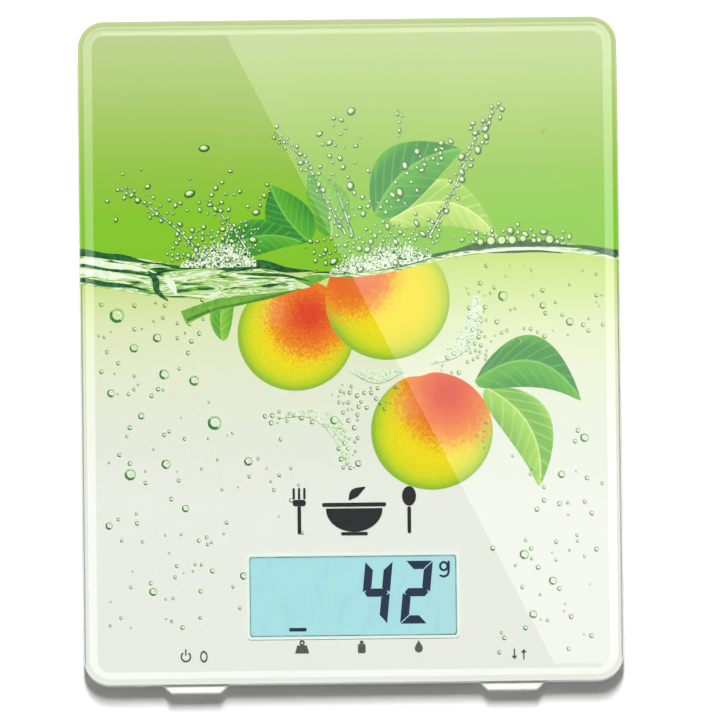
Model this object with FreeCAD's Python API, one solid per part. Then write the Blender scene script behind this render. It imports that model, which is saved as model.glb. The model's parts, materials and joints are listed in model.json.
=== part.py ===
"""Slim glass-topped kitchen scale with a display under the glass, two edge buttons and four sensing feet.

Millimetres, +Z up, +X to the user's right, the display edge towards -Y. The origin is on the surface that the
scale stands on, at the middle of the scale's outline with its two front buttons.
"""
import FreeCAD, Part

import math
import os

from FreeCAD import Vector

# ---------------------------------------------------------------- overall
plate_width = 162.0
plate_depth = 200.0
plate_corner = 8.0
glass_thickness = 4.0
glass_edge_round = 1.5
ink_thickness = 0.1
tape_thickness = 0.3
tape_margin = 3.0
ground_clearance = 3.4

# how far a cutting shape runs past a face, and how far a boss or rib is sunk into its wall
past = 1.0
root = 0.5

# ---------------------------------------------------------------- housing shells
housing_inset = 0.05
wall = 1.8
floor = 1.6
deck = 1.5
base_height = 4.3
base_edge_round = 2.5
lip_height = 0.8
lip_thickness = 0.9
lip_gap = 0.12
rib_thickness = 1.2
rib_height = 1.2
rib_board_gap = 4.0
rib_bay_gap = 0.6
shell_gap = 0.05

# ---------------------------------------------------------------- case screws
case_screw_radius = 1.0
case_head_radius = 1.9
case_head_height = 1.0
case_head_recess = 0.5
case_boss_radius = 3.3
case_boss_step = 0.4
case_corner_inset = 9.0
case_side_inset = 6.6
thread_gap = 0.05
through_gap = 0.25
pilot_skin = 0.9
tip_gap = 0.2

# ---------------------------------------------------------------- display
window_width = 61.4
window_depth = 23.4
window_corner = 0.8
window_from_front = 26.0
lcd_margin = 1.5
lcd_glass = 1.0
lcd_ledge = 3.0
lcd_fit = 0.5
bracket_wall = 1.5
bracket_gap = 0.1
guide_corner = 0.4
zebra_width = 1.8
zebra_end_gap = 3.0

# ---------------------------------------------------------------- circuit board
board_thickness = 1.2
board_side_margin = 4.9
board_rear_margin = 3.0
board_front_gap = 2.9
board_standoff = 1.2
wing_depth = 4.4
wing_reach = 9.0
board_screw_radius = 0.9
board_head_radius = 1.8
board_head_height = 0.9
board_boss_radius = 2.2
board_edge_margin = 0.6
chip_height = 0.9
blob_radius = 4.6
chip_length = 10.0
chip_width = 4.0
chip_standoff = 0.1
leads_per_side = 8
lead_pitch = 1.27
lead_width = 0.4
lead_thickness = 0.25
lead_reach = 1.0
component_length = 2.0
component_width = 1.2
component_height = 0.6
component_pitch = 4.0
component_row = 7.0
components_per_row = 7

# ---------------------------------------------------------------- edge buttons
button_from_middle = 47.5
button_width = 20.0
button_height = 3.4
button_reach = 2.5
button_tip_width = 14.8
button_tip_round = 1.2
button_edge_round = 0.5
button_fit = 0.25
button_travel = 0.5
flange_overlap = 2.0
flange_thickness = 1.4
switch_width = 6.0
switch_depth = 3.5
switch_height = 2.8
switch_setback = 0.1
plunger_width = 2.6
plunger_height = 1.3
plunger_fit = 0.08
plunger_socket = 2.2

# ---------------------------------------------------------------- feet and load sensors
foot_side_gap = 4.4
foot_end_gap = 11.4
foot_radius = 12.0
foot_fit = 0.4
foot_wall = 1.5
foot_edge_round = 0.8
foot_stem_radius = 3.2
foot_travel = 0.4
pad_radius = 10.4
pad_thickness = 1.4
pad_recess = 0.5
pad_fit = 0.1
pad_edge_round = 0.3
pad_groove_radius = 7.0
pad_groove_width = 1.0
pad_groove_depth = 0.3
foot_screw_radius = 0.9
foot_head_radius = 1.9
foot_head_height = 0.9
foot_screw_length = 4.0
sensor_thickness = 1.5
sensor_ledge = 2.2
sensor_rise = 0.7
sensor_fit = 0.2
tongue_width = 8.0
tongue_slot = 1.2
tongue_tip = 5.2
tongue_root = 9.0
ear_margin = 4.15
ear_radius = 2.9
ear_screw_radius = 0.9
ear_head_radius = 1.7
ear_head_height = 0.9
gauge_width = 4.6
gauge_length = 4.0
gauge_height = 0.5
gauge_setback = 1.4
gauge_edge_round = 0.2

# ---------------------------------------------------------------- battery bay
cell_radius = 10.0
cell_height = 3.2
cell_cap_radius = 8.6
cell_cap_height = 0.4
cell_edge_round = 0.5
cell_fit = 0.3
cell_y = 10.0
bay_wall = 1.7
bay_roof = 1.2
bay_roof_gap = 0.2
cell_headroom = 0.6
bay_surround_height = 3.0
bay_surround_wall = 1.6
door_thickness = 1.25
door_sunk = 0.05
door_top_gap = 0.15
door_fit = 0.25
door_side_lap = 3.7
door_front_lap = 4.7
door_rear_lap = 7.2
door_corner = 1.5
door_pad_size = 8.0
door_pad_height = 0.4
barrel_radius = 1.15
trunnion_radius = 0.6
trunnion_length = 1.1
trunnion_fit = 0.06
trunnion_end_gap = 0.2
latch_width = 9.0
latch_length = 3.2
latch_thickness = 0.9
latch_setback = 0.4
latch_height = 2.1
latch_hook = 0.95
latch_fit = 0.3
catch_ledge = 1.0
catch_gap = 0.1
thumb_radius = 7.0
thumb_depth = 0.5
grip_length = 10.0
grip_width = 0.6
grip_pitch = 1.6
grip_depth = 0.3
contact_thickness = 0.3
contact_width = 4.0
contact_lead = 3.4
contact_fit = 0.15
positive_drop = 0.2
finger_start = 4.0
finger_end = 7.0

# ---------------------------------------------------------------- wires
wire_radius = 0.45
wire_pitch = 1.1
wire_floor_gap = 0.1
solder_lap = 1.0
arc_share = 0.45
front_landing = 9.6
rear_landing = 18.6
positive_landing = 6.0
negative_landing = -2.5
# parts of a screw, as shares of its head and its shank
pan_round = 0.45
screw_tip = 0.3
recess_span = 0.62
recess_width = 0.36
recess_depth = 0.5
# where the deck's ribs cross, as shares of the way to the rear
middle_rib = 0.42
rear_rib = 0.8

# ---------------------------------------------------------------- heights worked out from the above
half_width = plate_width / 2
half_depth = plate_depth / 2
base_bottom = ground_clearance
base_floor_top = base_bottom + floor
parting = base_bottom + base_height
door_bottom = base_bottom + door_sunk
door_top = door_bottom + door_thickness
cell_bottom = door_top + door_pad_height
cell_top = cell_bottom + cell_height
bay_roof_bottom = cell_top + cell_headroom
bay_roof_top = bay_roof_bottom + bay_roof
deck_bottom = bay_roof_top + bay_roof_gap
deck_top = deck_bottom + deck
tape_top = deck_top + tape_thickness
glass_bottom = tape_top + ink_thickness
board_bottom = base_floor_top + board_standoff
board_top = board_bottom + board_thickness
outer_half_width = half_width - housing_inset
outer_half_depth = half_depth - housing_inset
outer_corner = plate_corner - housing_inset
front_wall_inner = -outer_half_depth + wall
lip_depth = lip_gap + lip_thickness
case_screw_seat = base_bottom + case_head_recess + case_head_height

lcd_width = window_width + 2 * lcd_margin
lcd_depth = window_depth + 2 * lcd_margin
lcd_y = -half_depth + window_from_front
lcd_front = lcd_y - lcd_depth / 2
lcd_rear = lcd_y + lcd_depth / 2
lcd_top = tape_top - bracket_gap
lcd_split = lcd_top - lcd_glass
lcd_bottom = lcd_split - lcd_glass

bracket_half_width = lcd_width / 2 + bracket_gap + bracket_wall
bracket_front = lcd_front - bracket_gap - bracket_wall
bracket_rear = lcd_rear + bracket_gap + bracket_wall
board_half_width = bracket_half_width + board_side_margin
board_front = front_wall_inner + board_front_gap
board_rear = bracket_rear + board_rear_margin
screw_inset = board_head_radius + board_edge_margin
board_rear_screw = (board_half_width - screw_inset, board_rear - screw_inset)
wing_end = button_from_middle + wing_reach
board_wing_screw = (wing_end - screw_inset, board_front + wing_depth / 2)

button_top = deck_bottom - button_fit
button_bottom = button_top - button_height
flange_front = front_wall_inner + shell_gap
flange_rear = flange_front + flange_thickness
switch_front = board_front + switch_setback
plunger_middle = board_top + switch_height / 2

opening_radius = foot_radius + foot_fit
collar_radius = opening_radius + sensor_ledge
foot_x = half_width - foot_side_gap - collar_radius
foot_y = -half_depth + foot_end_gap + collar_radius
ear_offset = (opening_radius + ear_margin) * math.sqrt(0.5)
sensor_bottom = base_floor_top + sensor_rise
sensor_top = sensor_bottom + sensor_thickness
foot_bottom = pad_thickness - pad_recess
foot_cup_top = base_floor_top - foot_travel

bay_radius = cell_radius + cell_fit
well_radius = bay_radius + bay_wall
door_half_width = bay_radius + door_side_lap
door_y_front = cell_y - bay_radius - door_front_lap
door_y_rear = cell_y + bay_radius + door_rear_lap
hinge_y = door_y_front + barrel_radius
hinge_z = door_bottom + barrel_radius
barrel_cut_radius = barrel_radius + door_fit
trunnion_end = door_half_width + trunnion_length
hook_bottom = base_bottom + catch_ledge + catch_gap
surround_half_width = trunnion_end + trunnion_end_gap + bay_surround_wall
surround_top = base_bottom + bay_surround_height
gauge_end = foot_y + tongue_root - gauge_setback
plate_edge = collar_radius - tongue_root + gauge_setback
wire_low = base_floor_top + wire_floor_gap + wire_radius
wire_on_gauge = sensor_top + gauge_height + wire_radius
wire_on_board = board_top + wire_radius

outline_shift = Vector(0, button_reach / 2, 0)


# ---------------------------------------------------------------- shape helpers
def box(x0, x1, y0, y1, z0, z1):
    """A block between two corners."""
    return Part.makeBox(x1 - x0, y1 - y0, z1 - z0, Vector(x0, y0, z0))


def disc(radius, z0, z1, x=0.0, y=0.0):
    """An upright cylinder."""
    return Part.makeCylinder(radius, z1 - z0, Vector(x, y, z0), Vector(0, 0, 1))


def bar(radius, half_length, y, z):
    """A cylinder along X, centred on x = 0."""
    return Part.makeCylinder(radius, 2 * half_length, Vector(-half_length, y, z), Vector(1, 0, 0))


def rounded_slab(half_x, half_y, corner, z0, z1, y=0.0):
    """A flat slab with rounded corners, centred on x = 0."""
    slab = box(-half_x, half_x, y - half_y, y + half_y, z0, z1)
    upright = [e for e in slab.Edges if e.BoundBox.ZLength > (z1 - z0) / 2]
    return slab.makeFillet(corner, upright)


def house_slab(inset, z0, z1):
    """A slab on the housing's outline, moved inwards."""
    return rounded_slab(outer_half_width - inset, outer_half_depth - inset, outer_corner - inset, z0, z1)


def prism(points, z0, z1):
    """An upright prism on a plan outline."""
    corners = [Vector(x, y, z0) for x, y in points]
    return Part.Face(Part.makePolygon(corners + corners[:1])).extrude(Vector(0, 0, z1 - z0))


def side_prism(points, half_width):
    """A prism along X on an outline in the YZ plane, centred on x = 0."""
    corners = [Vector(-half_width, y, z) for y, z in points]
    return Part.Face(Part.makePolygon(corners + corners[:1])).extrude(Vector(2 * half_width, 0, 0))


def edges_at(shape, z):
    """The edges of a shape that lie flat at one height."""
    return [e for e in shape.Edges if abs(e.BoundBox.ZMin - z) < 1e-6 and abs(e.BoundBox.ZMax - z) < 1e-6]


def union(shapes):
    """One solid from several that touch or overlap."""
    return shapes[0].fuse(list(shapes[1:])).removeSplitter()


def left_of(shape):
    """The mirror image on the other side of x = 0."""
    return shape.mirror(Vector(0, 0, 0), Vector(1, 0, 0))


def rear_of(shape):
    """The mirror image on the other side of y = 0."""
    return shape.mirror(Vector(0, 0, 0), Vector(0, 1, 0))


def both_sides(shape):
    """The right shape and its mirror image."""
    return [shape, left_of(shape)]


def at_corners(shape):
    """A front right shape and its mirror images, by corner name."""
    return {
        "front_right": shape,
        "front_left": left_of(shape),
        "rear_right": rear_of(shape),
        "rear_left": left_of(rear_of(shape)),
    }


def everywhere(shape):
    """The four corner copies as a list."""
    return list(at_corners(shape).values())


def pan_screw(radius, length, head_radius, head_height, x, y, seat, up=True):
    """A pan-head screw with a cross recess. seat is where the head bears, and the head lies above it if up."""
    sign = 1 if up else -1
    axis = Vector(0, 0, sign)
    head = Part.makeCylinder(head_radius, head_height, Vector(x, y, seat), axis)
    head = head.makeFillet(head_height * pan_round, edges_at(head, seat + sign * head_height))
    shank = Part.makeCylinder(radius, length - radius, Vector(x, y, seat - sign * (length - radius)), axis)
    tip = Part.makeCone(radius * screw_tip, radius, radius, Vector(x, y, seat - sign * length), axis)
    arm, half_slot = head_radius * recess_span, radius * recess_width / 2
    low, high = sorted((seat + sign * head_height * (1 - recess_depth), seat + sign * (head_height + past)))
    cross = union([
        box(x - arm, x + arm, y - half_slot, y + half_slot, low, high),
        box(x - half_slot, x + half_slot, y - arm, y + arm, low, high),
    ])
    return union([head, shank, tip]).cut(cross)


# ---------------------------------------------------------------- top plate
def glass_platform():
    """Tempered glass plate with a rounded and polished edge."""
    top = glass_bottom + glass_thickness
    plate = rounded_slab(half_width, half_depth, plate_corner, glass_bottom, top)
    return plate.makeFillet(glass_edge_round, edges_at(plate, top) + edges_at(plate, glass_bottom))


def display_window(margin, z0, z1):
    """The shape of the clear window in a layer, grown by a margin."""
    return rounded_slab(window_width / 2 + margin, window_depth / 2 + margin, window_corner, z0, z1, lcd_y)


def printed_layer():
    """Ceramic ink on the back of the glass, open over the display."""
    inset = glass_edge_round
    layer = rounded_slab(half_width - inset, half_depth - inset, plate_corner - inset, tape_top, glass_bottom)
    return layer.cut(display_window(0, tape_top - past, glass_bottom + past))


def mounting_tape():
    """Double-sided tape that holds the glass on the deck."""
    half_x, half_y = half_width - tape_margin, half_depth - tape_margin
    sheet = rounded_slab(half_x, half_y, plate_corner - tape_margin, deck_top, tape_top)
    return sheet.cut(display_window(lcd_margin + lcd_fit, deck_top - past, tape_top + past))


# ---------------------------------------------------------------- housing
def case_screw_places():
    """Plan positions of the case screws: the four corners and the middle of each long side."""
    x, y = half_width - case_corner_inset, half_depth - case_corner_inset
    side = half_width - case_side_inset
    return [(x, -y), (-x, -y), (x, y), (-x, y), (side, 0.0), (-side, 0.0)]


def board_screw_places():
    """Plan positions of the circuit board's screws."""
    (a, b), (c, d) = board_rear_screw, board_wing_screw
    return [(a, b), (-a, b), (c, d), (-c, d)]


def button_slots():
    """The openings in both shells for the buttons, and room for their flanges behind the wall."""
    x, low = button_from_middle, button_bottom - button_fit
    half = button_width / 2 + button_fit
    slot = box(x - half, x + half, -half_depth - past, front_wall_inner, low, button_top + button_fit)
    half += flange_overlap
    room = box(x - half, x + half, front_wall_inner, front_wall_inner + lip_depth, low, deck_bottom)
    return both_sides(slot) + both_sides(room)


def deck_ribs():
    """Stiffening ribs under the deck, clear of the display and of the battery bay."""
    low, high = deck_bottom - rib_height, deck_bottom + root
    front, side, rear = board_rear + rib_board_gap, outer_half_width - wall / 2, outer_half_depth - wall / 2
    half = rib_thickness / 2
    ribs = [box(x - half, x + half, front, rear, low, high)
            for x in (-side / 2, -side / 4, side / 4, side / 2)]
    ribs += [box(-side, side, y - half, y + half, low, high) for y in (front, rear * middle_rib, rear * rear_rib)]
    return union(ribs).cut(disc(well_radius + rib_bay_gap, low - past, deck_bottom, 0, cell_y))


def upper_frame():
    """Upper shell: the deck under the glass, its skirt, the lip that locates the base, and the screw bosses."""
    skin = house_slab(0, parting, deck_top).cut(house_slab(wall, parting - past, deck_bottom))
    lip = house_slab(wall + lip_gap, parting - lip_height, deck_bottom + root)
    bridge = house_slab(wall / 2, parting + lip_height, deck_bottom + root)
    inside = house_slab(lip_depth + wall, parting - lip_height - past, deck_bottom)
    ring = union([lip, bridge]).cut(inside)
    boss_radius = case_boss_radius - case_boss_step
    bosses = [disc(boss_radius, parting + shell_gap, deck_bottom + root, x, y) for x, y in case_screw_places()]
    frame = union([skin, ring, deck_ribs()] + bosses)
    bores = [disc(case_screw_radius + thread_gap, parting - past, deck_bottom + tip_gap, x, y)
             for x, y in case_screw_places()]
    pocket = display_window(lcd_margin + lcd_fit, deck_bottom - rib_height - past, deck_top + past)
    return frame.cut(bores + button_slots() + [pocket])


def bay_surround():
    """Raised block around the battery door, and the round wall and roof around the cell."""
    front = hinge_y - barrel_cut_radius - bay_surround_wall
    rear = door_y_rear + latch_hook + latch_fit + bay_surround_wall
    block = box(-surround_half_width, surround_half_width, front, rear, base_bottom, surround_top)
    return union([block, disc(well_radius, base_bottom, bay_roof_top, 0, cell_y)])


def door_cuts():
    """Room for the battery door, its barrel and trunnions, its latch and a fingertip."""
    half = door_half_width + door_fit
    latch_half = latch_width / 2 + latch_fit
    outside = base_bottom - past
    latch_roof = door_bottom + latch_height + latch_fit
    rear = door_y_rear + door_fit
    return [
        box(-half, half, hinge_y, rear, outside, door_top + door_top_gap),
        bar(barrel_cut_radius, half, hinge_y, hinge_z),
        box(-half, half, hinge_y - barrel_cut_radius, hinge_y, outside, hinge_z),
        bar(trunnion_radius + trunnion_fit, trunnion_end + trunnion_end_gap, hinge_y, hinge_z),
        box(-latch_half, latch_half, door_y_rear - latch_length - latch_fit, rear, outside, latch_roof),
        box(-latch_half, latch_half, rear - root, door_y_rear + latch_hook + latch_fit,
            base_bottom + catch_ledge, latch_roof),
        disc(thumb_radius, outside, base_bottom + thumb_depth, 0, door_y_rear + root),
    ]


def cell_cuts():
    """Room for the cell and for its two contacts with their leads."""
    half = contact_width / 2 + contact_fit
    wall_out = well_radius + past
    leaf_low = bay_roof_bottom - contact_thickness - contact_fit
    return [
        disc(bay_radius, base_bottom, bay_roof_bottom, 0, cell_y),
        box(-half, half, cell_y - wall_out, cell_y, leaf_low, bay_roof_bottom),
        box(0, wall_out, cell_y - half, cell_y + half, surround_top + contact_fit, bay_roof_bottom),
        box(0, cell_radius + contact_thickness + contact_fit, cell_y - half, cell_y + half,
            cell_bottom, bay_roof_bottom),
    ]


def sensor_seat():
    """Collar and screw bosses for the front right load sensor."""
    seat = [disc(collar_radius, base_bottom, sensor_bottom, foot_x, foot_y)]
    for x, y in ear_places():
        seat.append(disc(ear_radius, base_bottom + root, sensor_bottom, x, y))
    return union(seat)


def ear_places():
    """Plan positions of the two screws of the front right load sensor."""
    return [(foot_x + side * ear_offset, foot_y + side * ear_offset) for side in (1, -1)]


def sensor_seat_cuts():
    """The foot's opening and the sensor screws' pilot holes at the front right."""
    holes = [disc(opening_radius, base_bottom - past, sensor_bottom + past, foot_x, foot_y)]
    for x, y in ear_places():
        holes.append(disc(ear_screw_radius + thread_gap, base_bottom + pilot_skin, sensor_bottom + past, x, y))
    return holes


def base_cover():
    """Lower shell: floor, wall, screw bosses, sensor seats and battery bay."""
    top = parting - shell_gap
    shell = house_slab(0, base_bottom, top)
    shell = shell.makeFillet(base_edge_round, edges_at(shell, base_bottom))
    shell = shell.cut(house_slab(wall, base_floor_top, top + past))
    bosses = [disc(case_boss_radius, base_bottom + root, top, x, y) for x, y in case_screw_places()]
    bosses += [disc(board_boss_radius, base_bottom + root, board_bottom, x, y) for x, y in board_screw_places()]
    base = union([shell, bay_surround()] + everywhere(sensor_seat()) + bosses)
    cuts = door_cuts() + cell_cuts() + button_slots()
    for x, y in case_screw_places():
        cuts.append(disc(case_head_radius + through_gap, base_bottom - past, case_screw_seat, x, y))
        cuts.append(disc(case_screw_radius + through_gap, base_bottom, top + past, x, y))
    for x, y in board_screw_places():
        cuts.append(disc(board_screw_radius + thread_gap, base_bottom + pilot_skin, board_bottom + past, x, y))
    for tool in sensor_seat_cuts():
        cuts += everywhere(tool)
    return base.cut(cuts)


def case_screws():
    """Six self-tapping screws that hold the base to the frame, driven from below."""
    length = deck_bottom - case_screw_seat
    return Part.makeCompound([
        pan_screw(case_screw_radius, length, case_head_radius, case_head_height, x, y, case_screw_seat, up=False)
        for x, y in case_screw_places()
    ])


# ---------------------------------------------------------------- display and circuit board
def lcd_front_glass():
    """Upper glass of the display, with the contact ledge along its front edge."""
    return box(-lcd_width / 2, lcd_width / 2, lcd_front, lcd_rear, lcd_split, lcd_top)


def lcd_rear_glass():
    """Lower glass of the display."""
    return box(-lcd_width / 2, lcd_width / 2, lcd_front + lcd_ledge, lcd_rear, lcd_bottom, lcd_split)


def lcd_backlight():
    """Clear light guide that stands on the board under the display."""
    guide = box(-lcd_width / 2, lcd_width / 2, lcd_front + lcd_ledge, lcd_rear, board_top, lcd_bottom)
    upright = [e for e in guide.Edges if e.BoundBox.ZLength > (lcd_bottom - board_top) / 2]
    return guide.makeFillet(guide_corner, upright)


def lcd_bracket():
    """Moulded frame on the board, around the light guide and the contact strip."""
    half_y = (bracket_rear - bracket_front) / 2
    top = deck_bottom - bracket_gap
    outer = rounded_slab(bracket_half_width, half_y, bracket_wall, board_top, top, lcd_y)
    x, y = bracket_half_width - bracket_wall, half_y - bracket_wall
    return outer.cut(box(-x, x, lcd_y - y, lcd_y + y, board_top - past, top + past))


def zebra_strip():
    """Elastomer connector between the board and the display's contact ledge."""
    middle = lcd_front + lcd_ledge / 2
    half = lcd_width / 2 - zebra_end_gap
    return box(-half, half, middle - zebra_width / 2, middle + zebra_width / 2, board_top, lcd_split)


def main_board():
    """Circuit board with a narrow wing behind each button."""
    body = box(-board_half_width, board_half_width, board_front, board_rear, board_bottom, board_top)
    wings = box(-wing_end, wing_end, board_front, board_front + wing_depth, board_bottom, board_top)
    holes = [disc(board_screw_radius + through_gap, board_bottom - past, board_top + past, x, y)
             for x, y in board_screw_places()]
    return union([body, wings]).cut(holes)


def board_screws():
    """Four short screws that hold the board."""
    length = board_top - base_bottom - pilot_skin - tip_gap
    return Part.makeCompound([
        pan_screw(board_screw_radius, length, board_head_radius, board_head_height, x, y, board_top)
        for x, y in board_screw_places()
    ])


def controller_blob():
    """Epoxy dome over the bare controller chip, under the board."""
    sphere_radius = (blob_radius ** 2 + chip_height ** 2) / (2 * chip_height)
    x, low = -bracket_half_width / 3, board_bottom - chip_height
    ball = Part.makeSphere(sphere_radius, Vector(x, lcd_y, low + sphere_radius))
    return ball.common(disc(blob_radius + past, low - past, board_bottom, x, lcd_y))


def converter_chip():
    """Weighing converter in a small-outline package with leads along both sides."""
    x0, low = bracket_half_width / 3, board_bottom - chip_height
    half_x, half_y = chip_length / 2, chip_width / 2
    body = box(x0 - half_x, x0 + half_x, lcd_y - half_y, lcd_y + half_y, low, board_bottom - chip_standoff)
    reach = half_y + lead_reach
    leads = []
    for i in range(leads_per_side):
        x = x0 + (i - (leads_per_side - 1) / 2) * lead_pitch
        leads.append(box(x - lead_width / 2, x + lead_width / 2, lcd_y - reach, lcd_y + reach,
                         board_bottom - lead_thickness, board_bottom))
    return union([body] + leads)


def board_components():
    """Resistors and capacitors under the board, as separate solids in two rows."""
    half_x, half_y, low = component_length / 2, component_width / 2, board_bottom - component_height
    parts = []
    for y in (lcd_y - component_row, lcd_y + component_row):
        for i in range(components_per_row):
            x = (i - (components_per_row - 1) / 2) * component_pitch
            parts.append(box(x - half_x, x + half_x, y - half_y, y + half_y, low, board_bottom))
    return Part.makeCompound(parts)


# ---------------------------------------------------------------- buttons, modelled on the right
def edge_button():
    """Tapered tab outside the wall, with a retaining flange behind it."""
    x, front, tip = button_from_middle, -half_depth, -half_depth - button_reach
    half, tip_half = button_width / 2, button_tip_width / 2
    outline = [(x - half, flange_rear), (x - half, front), (x - tip_half, tip),
               (x + tip_half, tip), (x + half, front), (x + half, flange_rear)]
    tab = prism(outline, button_bottom, button_top)
    tip_edges = [e for e in tab.Edges if e.BoundBox.YMax < tip + 1e-6 and e.BoundBox.ZLength > button_height / 2]
    tab = tab.makeFillet(button_tip_round, tip_edges)
    outer = [e for e in tab.Edges if e.BoundBox.YMax < front + 1e-6 and e.BoundBox.ZLength < 1e-6]
    tab = tab.makeFillet(button_edge_round, outer)
    half += flange_overlap
    return union([tab, box(x - half, x + half, flange_front, flange_rear, button_bottom, button_top)])


def switch_body():
    """Right-angle tactile switch on the board, open at the front for its plunger."""
    x, half = button_from_middle, switch_width / 2
    rear = switch_front + switch_depth
    body = box(x - half, x + half, switch_front, rear, board_top, board_top + switch_height)
    half_x, half_z = plunger_width / 2 + plunger_fit, plunger_height / 2 + plunger_fit
    return body.cut(box(x - half_x, x + half_x, switch_front - past, switch_front + plunger_socket,
                        plunger_middle - half_z, plunger_middle + half_z))


def switch_plunger():
    """Plunger between the button's flange and the switch."""
    x, half_x, half_z = button_from_middle, plunger_width / 2, plunger_height / 2
    inner = switch_front + plunger_socket - button_travel - tip_gap
    return box(x - half_x, x + half_x, flange_rear, inner, plunger_middle - half_z, plunger_middle + half_z)


# ---------------------------------------------------------------- feet and sensors, modelled at the front right
def foot_cap():
    """Moulded cup that carries the pad and pushes the sensor's tongue with its stem."""
    cup = disc(foot_radius, foot_bottom, foot_cup_top, foot_x, foot_y)
    cup = cup.makeFillet(foot_edge_round, edges_at(cup, foot_bottom))
    ring_floor = pad_thickness + foot_wall
    ring = disc(foot_radius - foot_wall, ring_floor, foot_cup_top + past, foot_x, foot_y)
    stem = disc(foot_stem_radius, ring_floor - root, sensor_bottom, foot_x, foot_y)
    seat = disc(pad_radius + pad_fit, foot_bottom - past, pad_thickness, foot_x, foot_y)
    pilot_bottom = sensor_top - foot_screw_length - tip_gap
    pilot = disc(foot_screw_radius + thread_gap, pilot_bottom, sensor_bottom + past, foot_x, foot_y)
    return union([cup.cut(ring), stem]).cut([seat, pilot])


def foot_pad():
    """Non-slip pad with a round groove."""
    pad = disc(pad_radius, 0, pad_thickness, foot_x, foot_y)
    pad = pad.makeFillet(pad_edge_round, edges_at(pad, 0))
    groove = disc(pad_groove_radius, -past, pad_groove_depth, foot_x, foot_y)
    return pad.cut(groove.cut(disc(pad_groove_radius - pad_groove_width, -past, past, foot_x, foot_y)))


def foot_screw():
    """Screw that holds the foot under the sensor's tongue."""
    return pan_screw(foot_screw_radius, foot_screw_length, foot_head_radius, foot_head_height,
                     foot_x, foot_y, sensor_top)


def load_sensor():
    """Stamped steel plate with a bending tongue cut free on three sides."""
    plate = [disc(collar_radius - sensor_fit, sensor_bottom, sensor_top, foot_x, foot_y)]
    plate += [disc(ear_radius, sensor_bottom, sensor_top, x, y) for x, y in ear_places()]
    low, high = sensor_bottom - past, sensor_top + past
    inner = tongue_width / 2
    outer = inner + tongue_slot
    front = foot_y - tongue_tip - tongue_slot
    cuts = [
        box(foot_x - outer, foot_x + outer, front, foot_y - tongue_tip, low, high),
        box(foot_x - outer, foot_x - inner, front, foot_y + tongue_root, low, high),
        box(foot_x + inner, foot_x + outer, front, foot_y + tongue_root, low, high),
        disc(foot_screw_radius + through_gap, low, high, foot_x, foot_y),
    ]
    cuts += [disc(ear_screw_radius + through_gap, low, high, x, y) for x, y in ear_places()]
    return union(plate).cut(cuts)


def strain_gauge():
    """Coated strain gauge bonded to the tongue near its root."""
    half, top = gauge_width / 2, sensor_top + gauge_height
    patch = box(foot_x - half, foot_x + half, gauge_end - gauge_length, gauge_end, sensor_top, top)
    return patch.makeFillet(gauge_edge_round, edges_at(patch, top))


def sensor_screws():
    """The eight screws that hold the sensor plates."""
    length = sensor_top - base_bottom - pilot_skin - tip_gap
    screws = []
    for x, y in ear_places():
        screws += everywhere(pan_screw(ear_screw_radius, length, ear_head_radius, ear_head_height, x, y, sensor_top))
    return Part.makeCompound(screws)


# ---------------------------------------------------------------- battery, contacts and door
def coin_cell():
    """Three-volt coin cell, its smaller pole upwards."""
    can = disc(cell_radius, cell_bottom, cell_top - cell_cap_height, 0, cell_y)
    can = can.makeFillet(cell_edge_round, edges_at(can, cell_bottom))
    cap = disc(cell_cap_radius, cell_top - cell_cap_height, cell_top, 0, cell_y)
    return union([can, cap.makeFillet(cell_cap_height / 2, edges_at(cap, cell_top))])


def contact_negative():
    """Leaf contact under the bay's roof, with a finger that presses on the cell."""
    top, low = bay_roof_bottom, bay_roof_bottom - contact_thickness
    outer = cell_y - well_radius - contact_lead
    bend, tip = cell_y + finger_start, cell_y + finger_end
    profile = [(outer, low), (outer, top), (bend, top), (tip, cell_top + contact_thickness),
               (tip, cell_top), (bend, low)]
    return side_prism(profile, contact_width / 2)


def contact_positive():
    """Upright contact that touches the side of the cell, with a lead through the bay's wall."""
    half, inner = contact_width / 2, cell_radius
    high = bay_roof_bottom - positive_drop
    upright = box(inner, inner + contact_thickness, cell_y - half, cell_y + half, cell_bottom + tip_gap, high)
    lead = box(inner, well_radius + contact_lead, cell_y - half, cell_y + half, high - contact_thickness, high)
    return union([upright, lead])


def battery_door():
    """Flush door with a hinge barrel and trunnions along its front edge, and grip lines by its latch."""
    panel = box(-door_half_width, door_half_width, hinge_y, door_y_rear, door_bottom, door_top)
    rear_corners = [e for e in panel.Edges
                    if e.BoundBox.ZLength > door_thickness / 2 and e.BoundBox.YMin > door_y_rear - 1e-6]
    panel = panel.makeFillet(door_corner, rear_corners)
    barrel = bar(barrel_radius, door_half_width, hinge_y, hinge_z)
    pins = bar(trunnion_radius, trunnion_end, hinge_y, hinge_z)
    notch_half = latch_width / 2 + latch_fit
    cuts = [box(-notch_half, notch_half, door_y_rear - latch_length, door_y_rear + past,
                door_bottom - past, door_top + past)]
    for i in range(3):
        y = door_y_rear - latch_length - (i + 1.5) * grip_pitch
        cuts.append(box(-grip_length / 2, grip_length / 2, y - grip_width / 2, y + grip_width / 2,
                        door_bottom - past, door_bottom + grip_depth))
    return union([panel, barrel, pins]).cut(cuts)


def battery_door_latch():
    """Springy finger at the rear of the door, with the hook that holds it shut."""
    start, back = door_y_rear - latch_length, door_y_rear - latch_setback
    neck, top = back - latch_thickness, door_bottom + latch_height
    profile = [(start, door_bottom), (back, door_bottom), (back, hook_bottom),
               (back + latch_hook, hook_bottom), (back, top), (neck, top),
               (neck, door_bottom + latch_thickness), (start, door_bottom + latch_thickness)]
    return side_prism(profile, latch_width / 2)


def battery_door_pad():
    """Foam pad on the door that keeps the cell against its contact."""
    return rounded_slab(door_pad_size / 2, door_pad_size / 2, door_corner, door_top, cell_bottom, cell_y)


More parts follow.
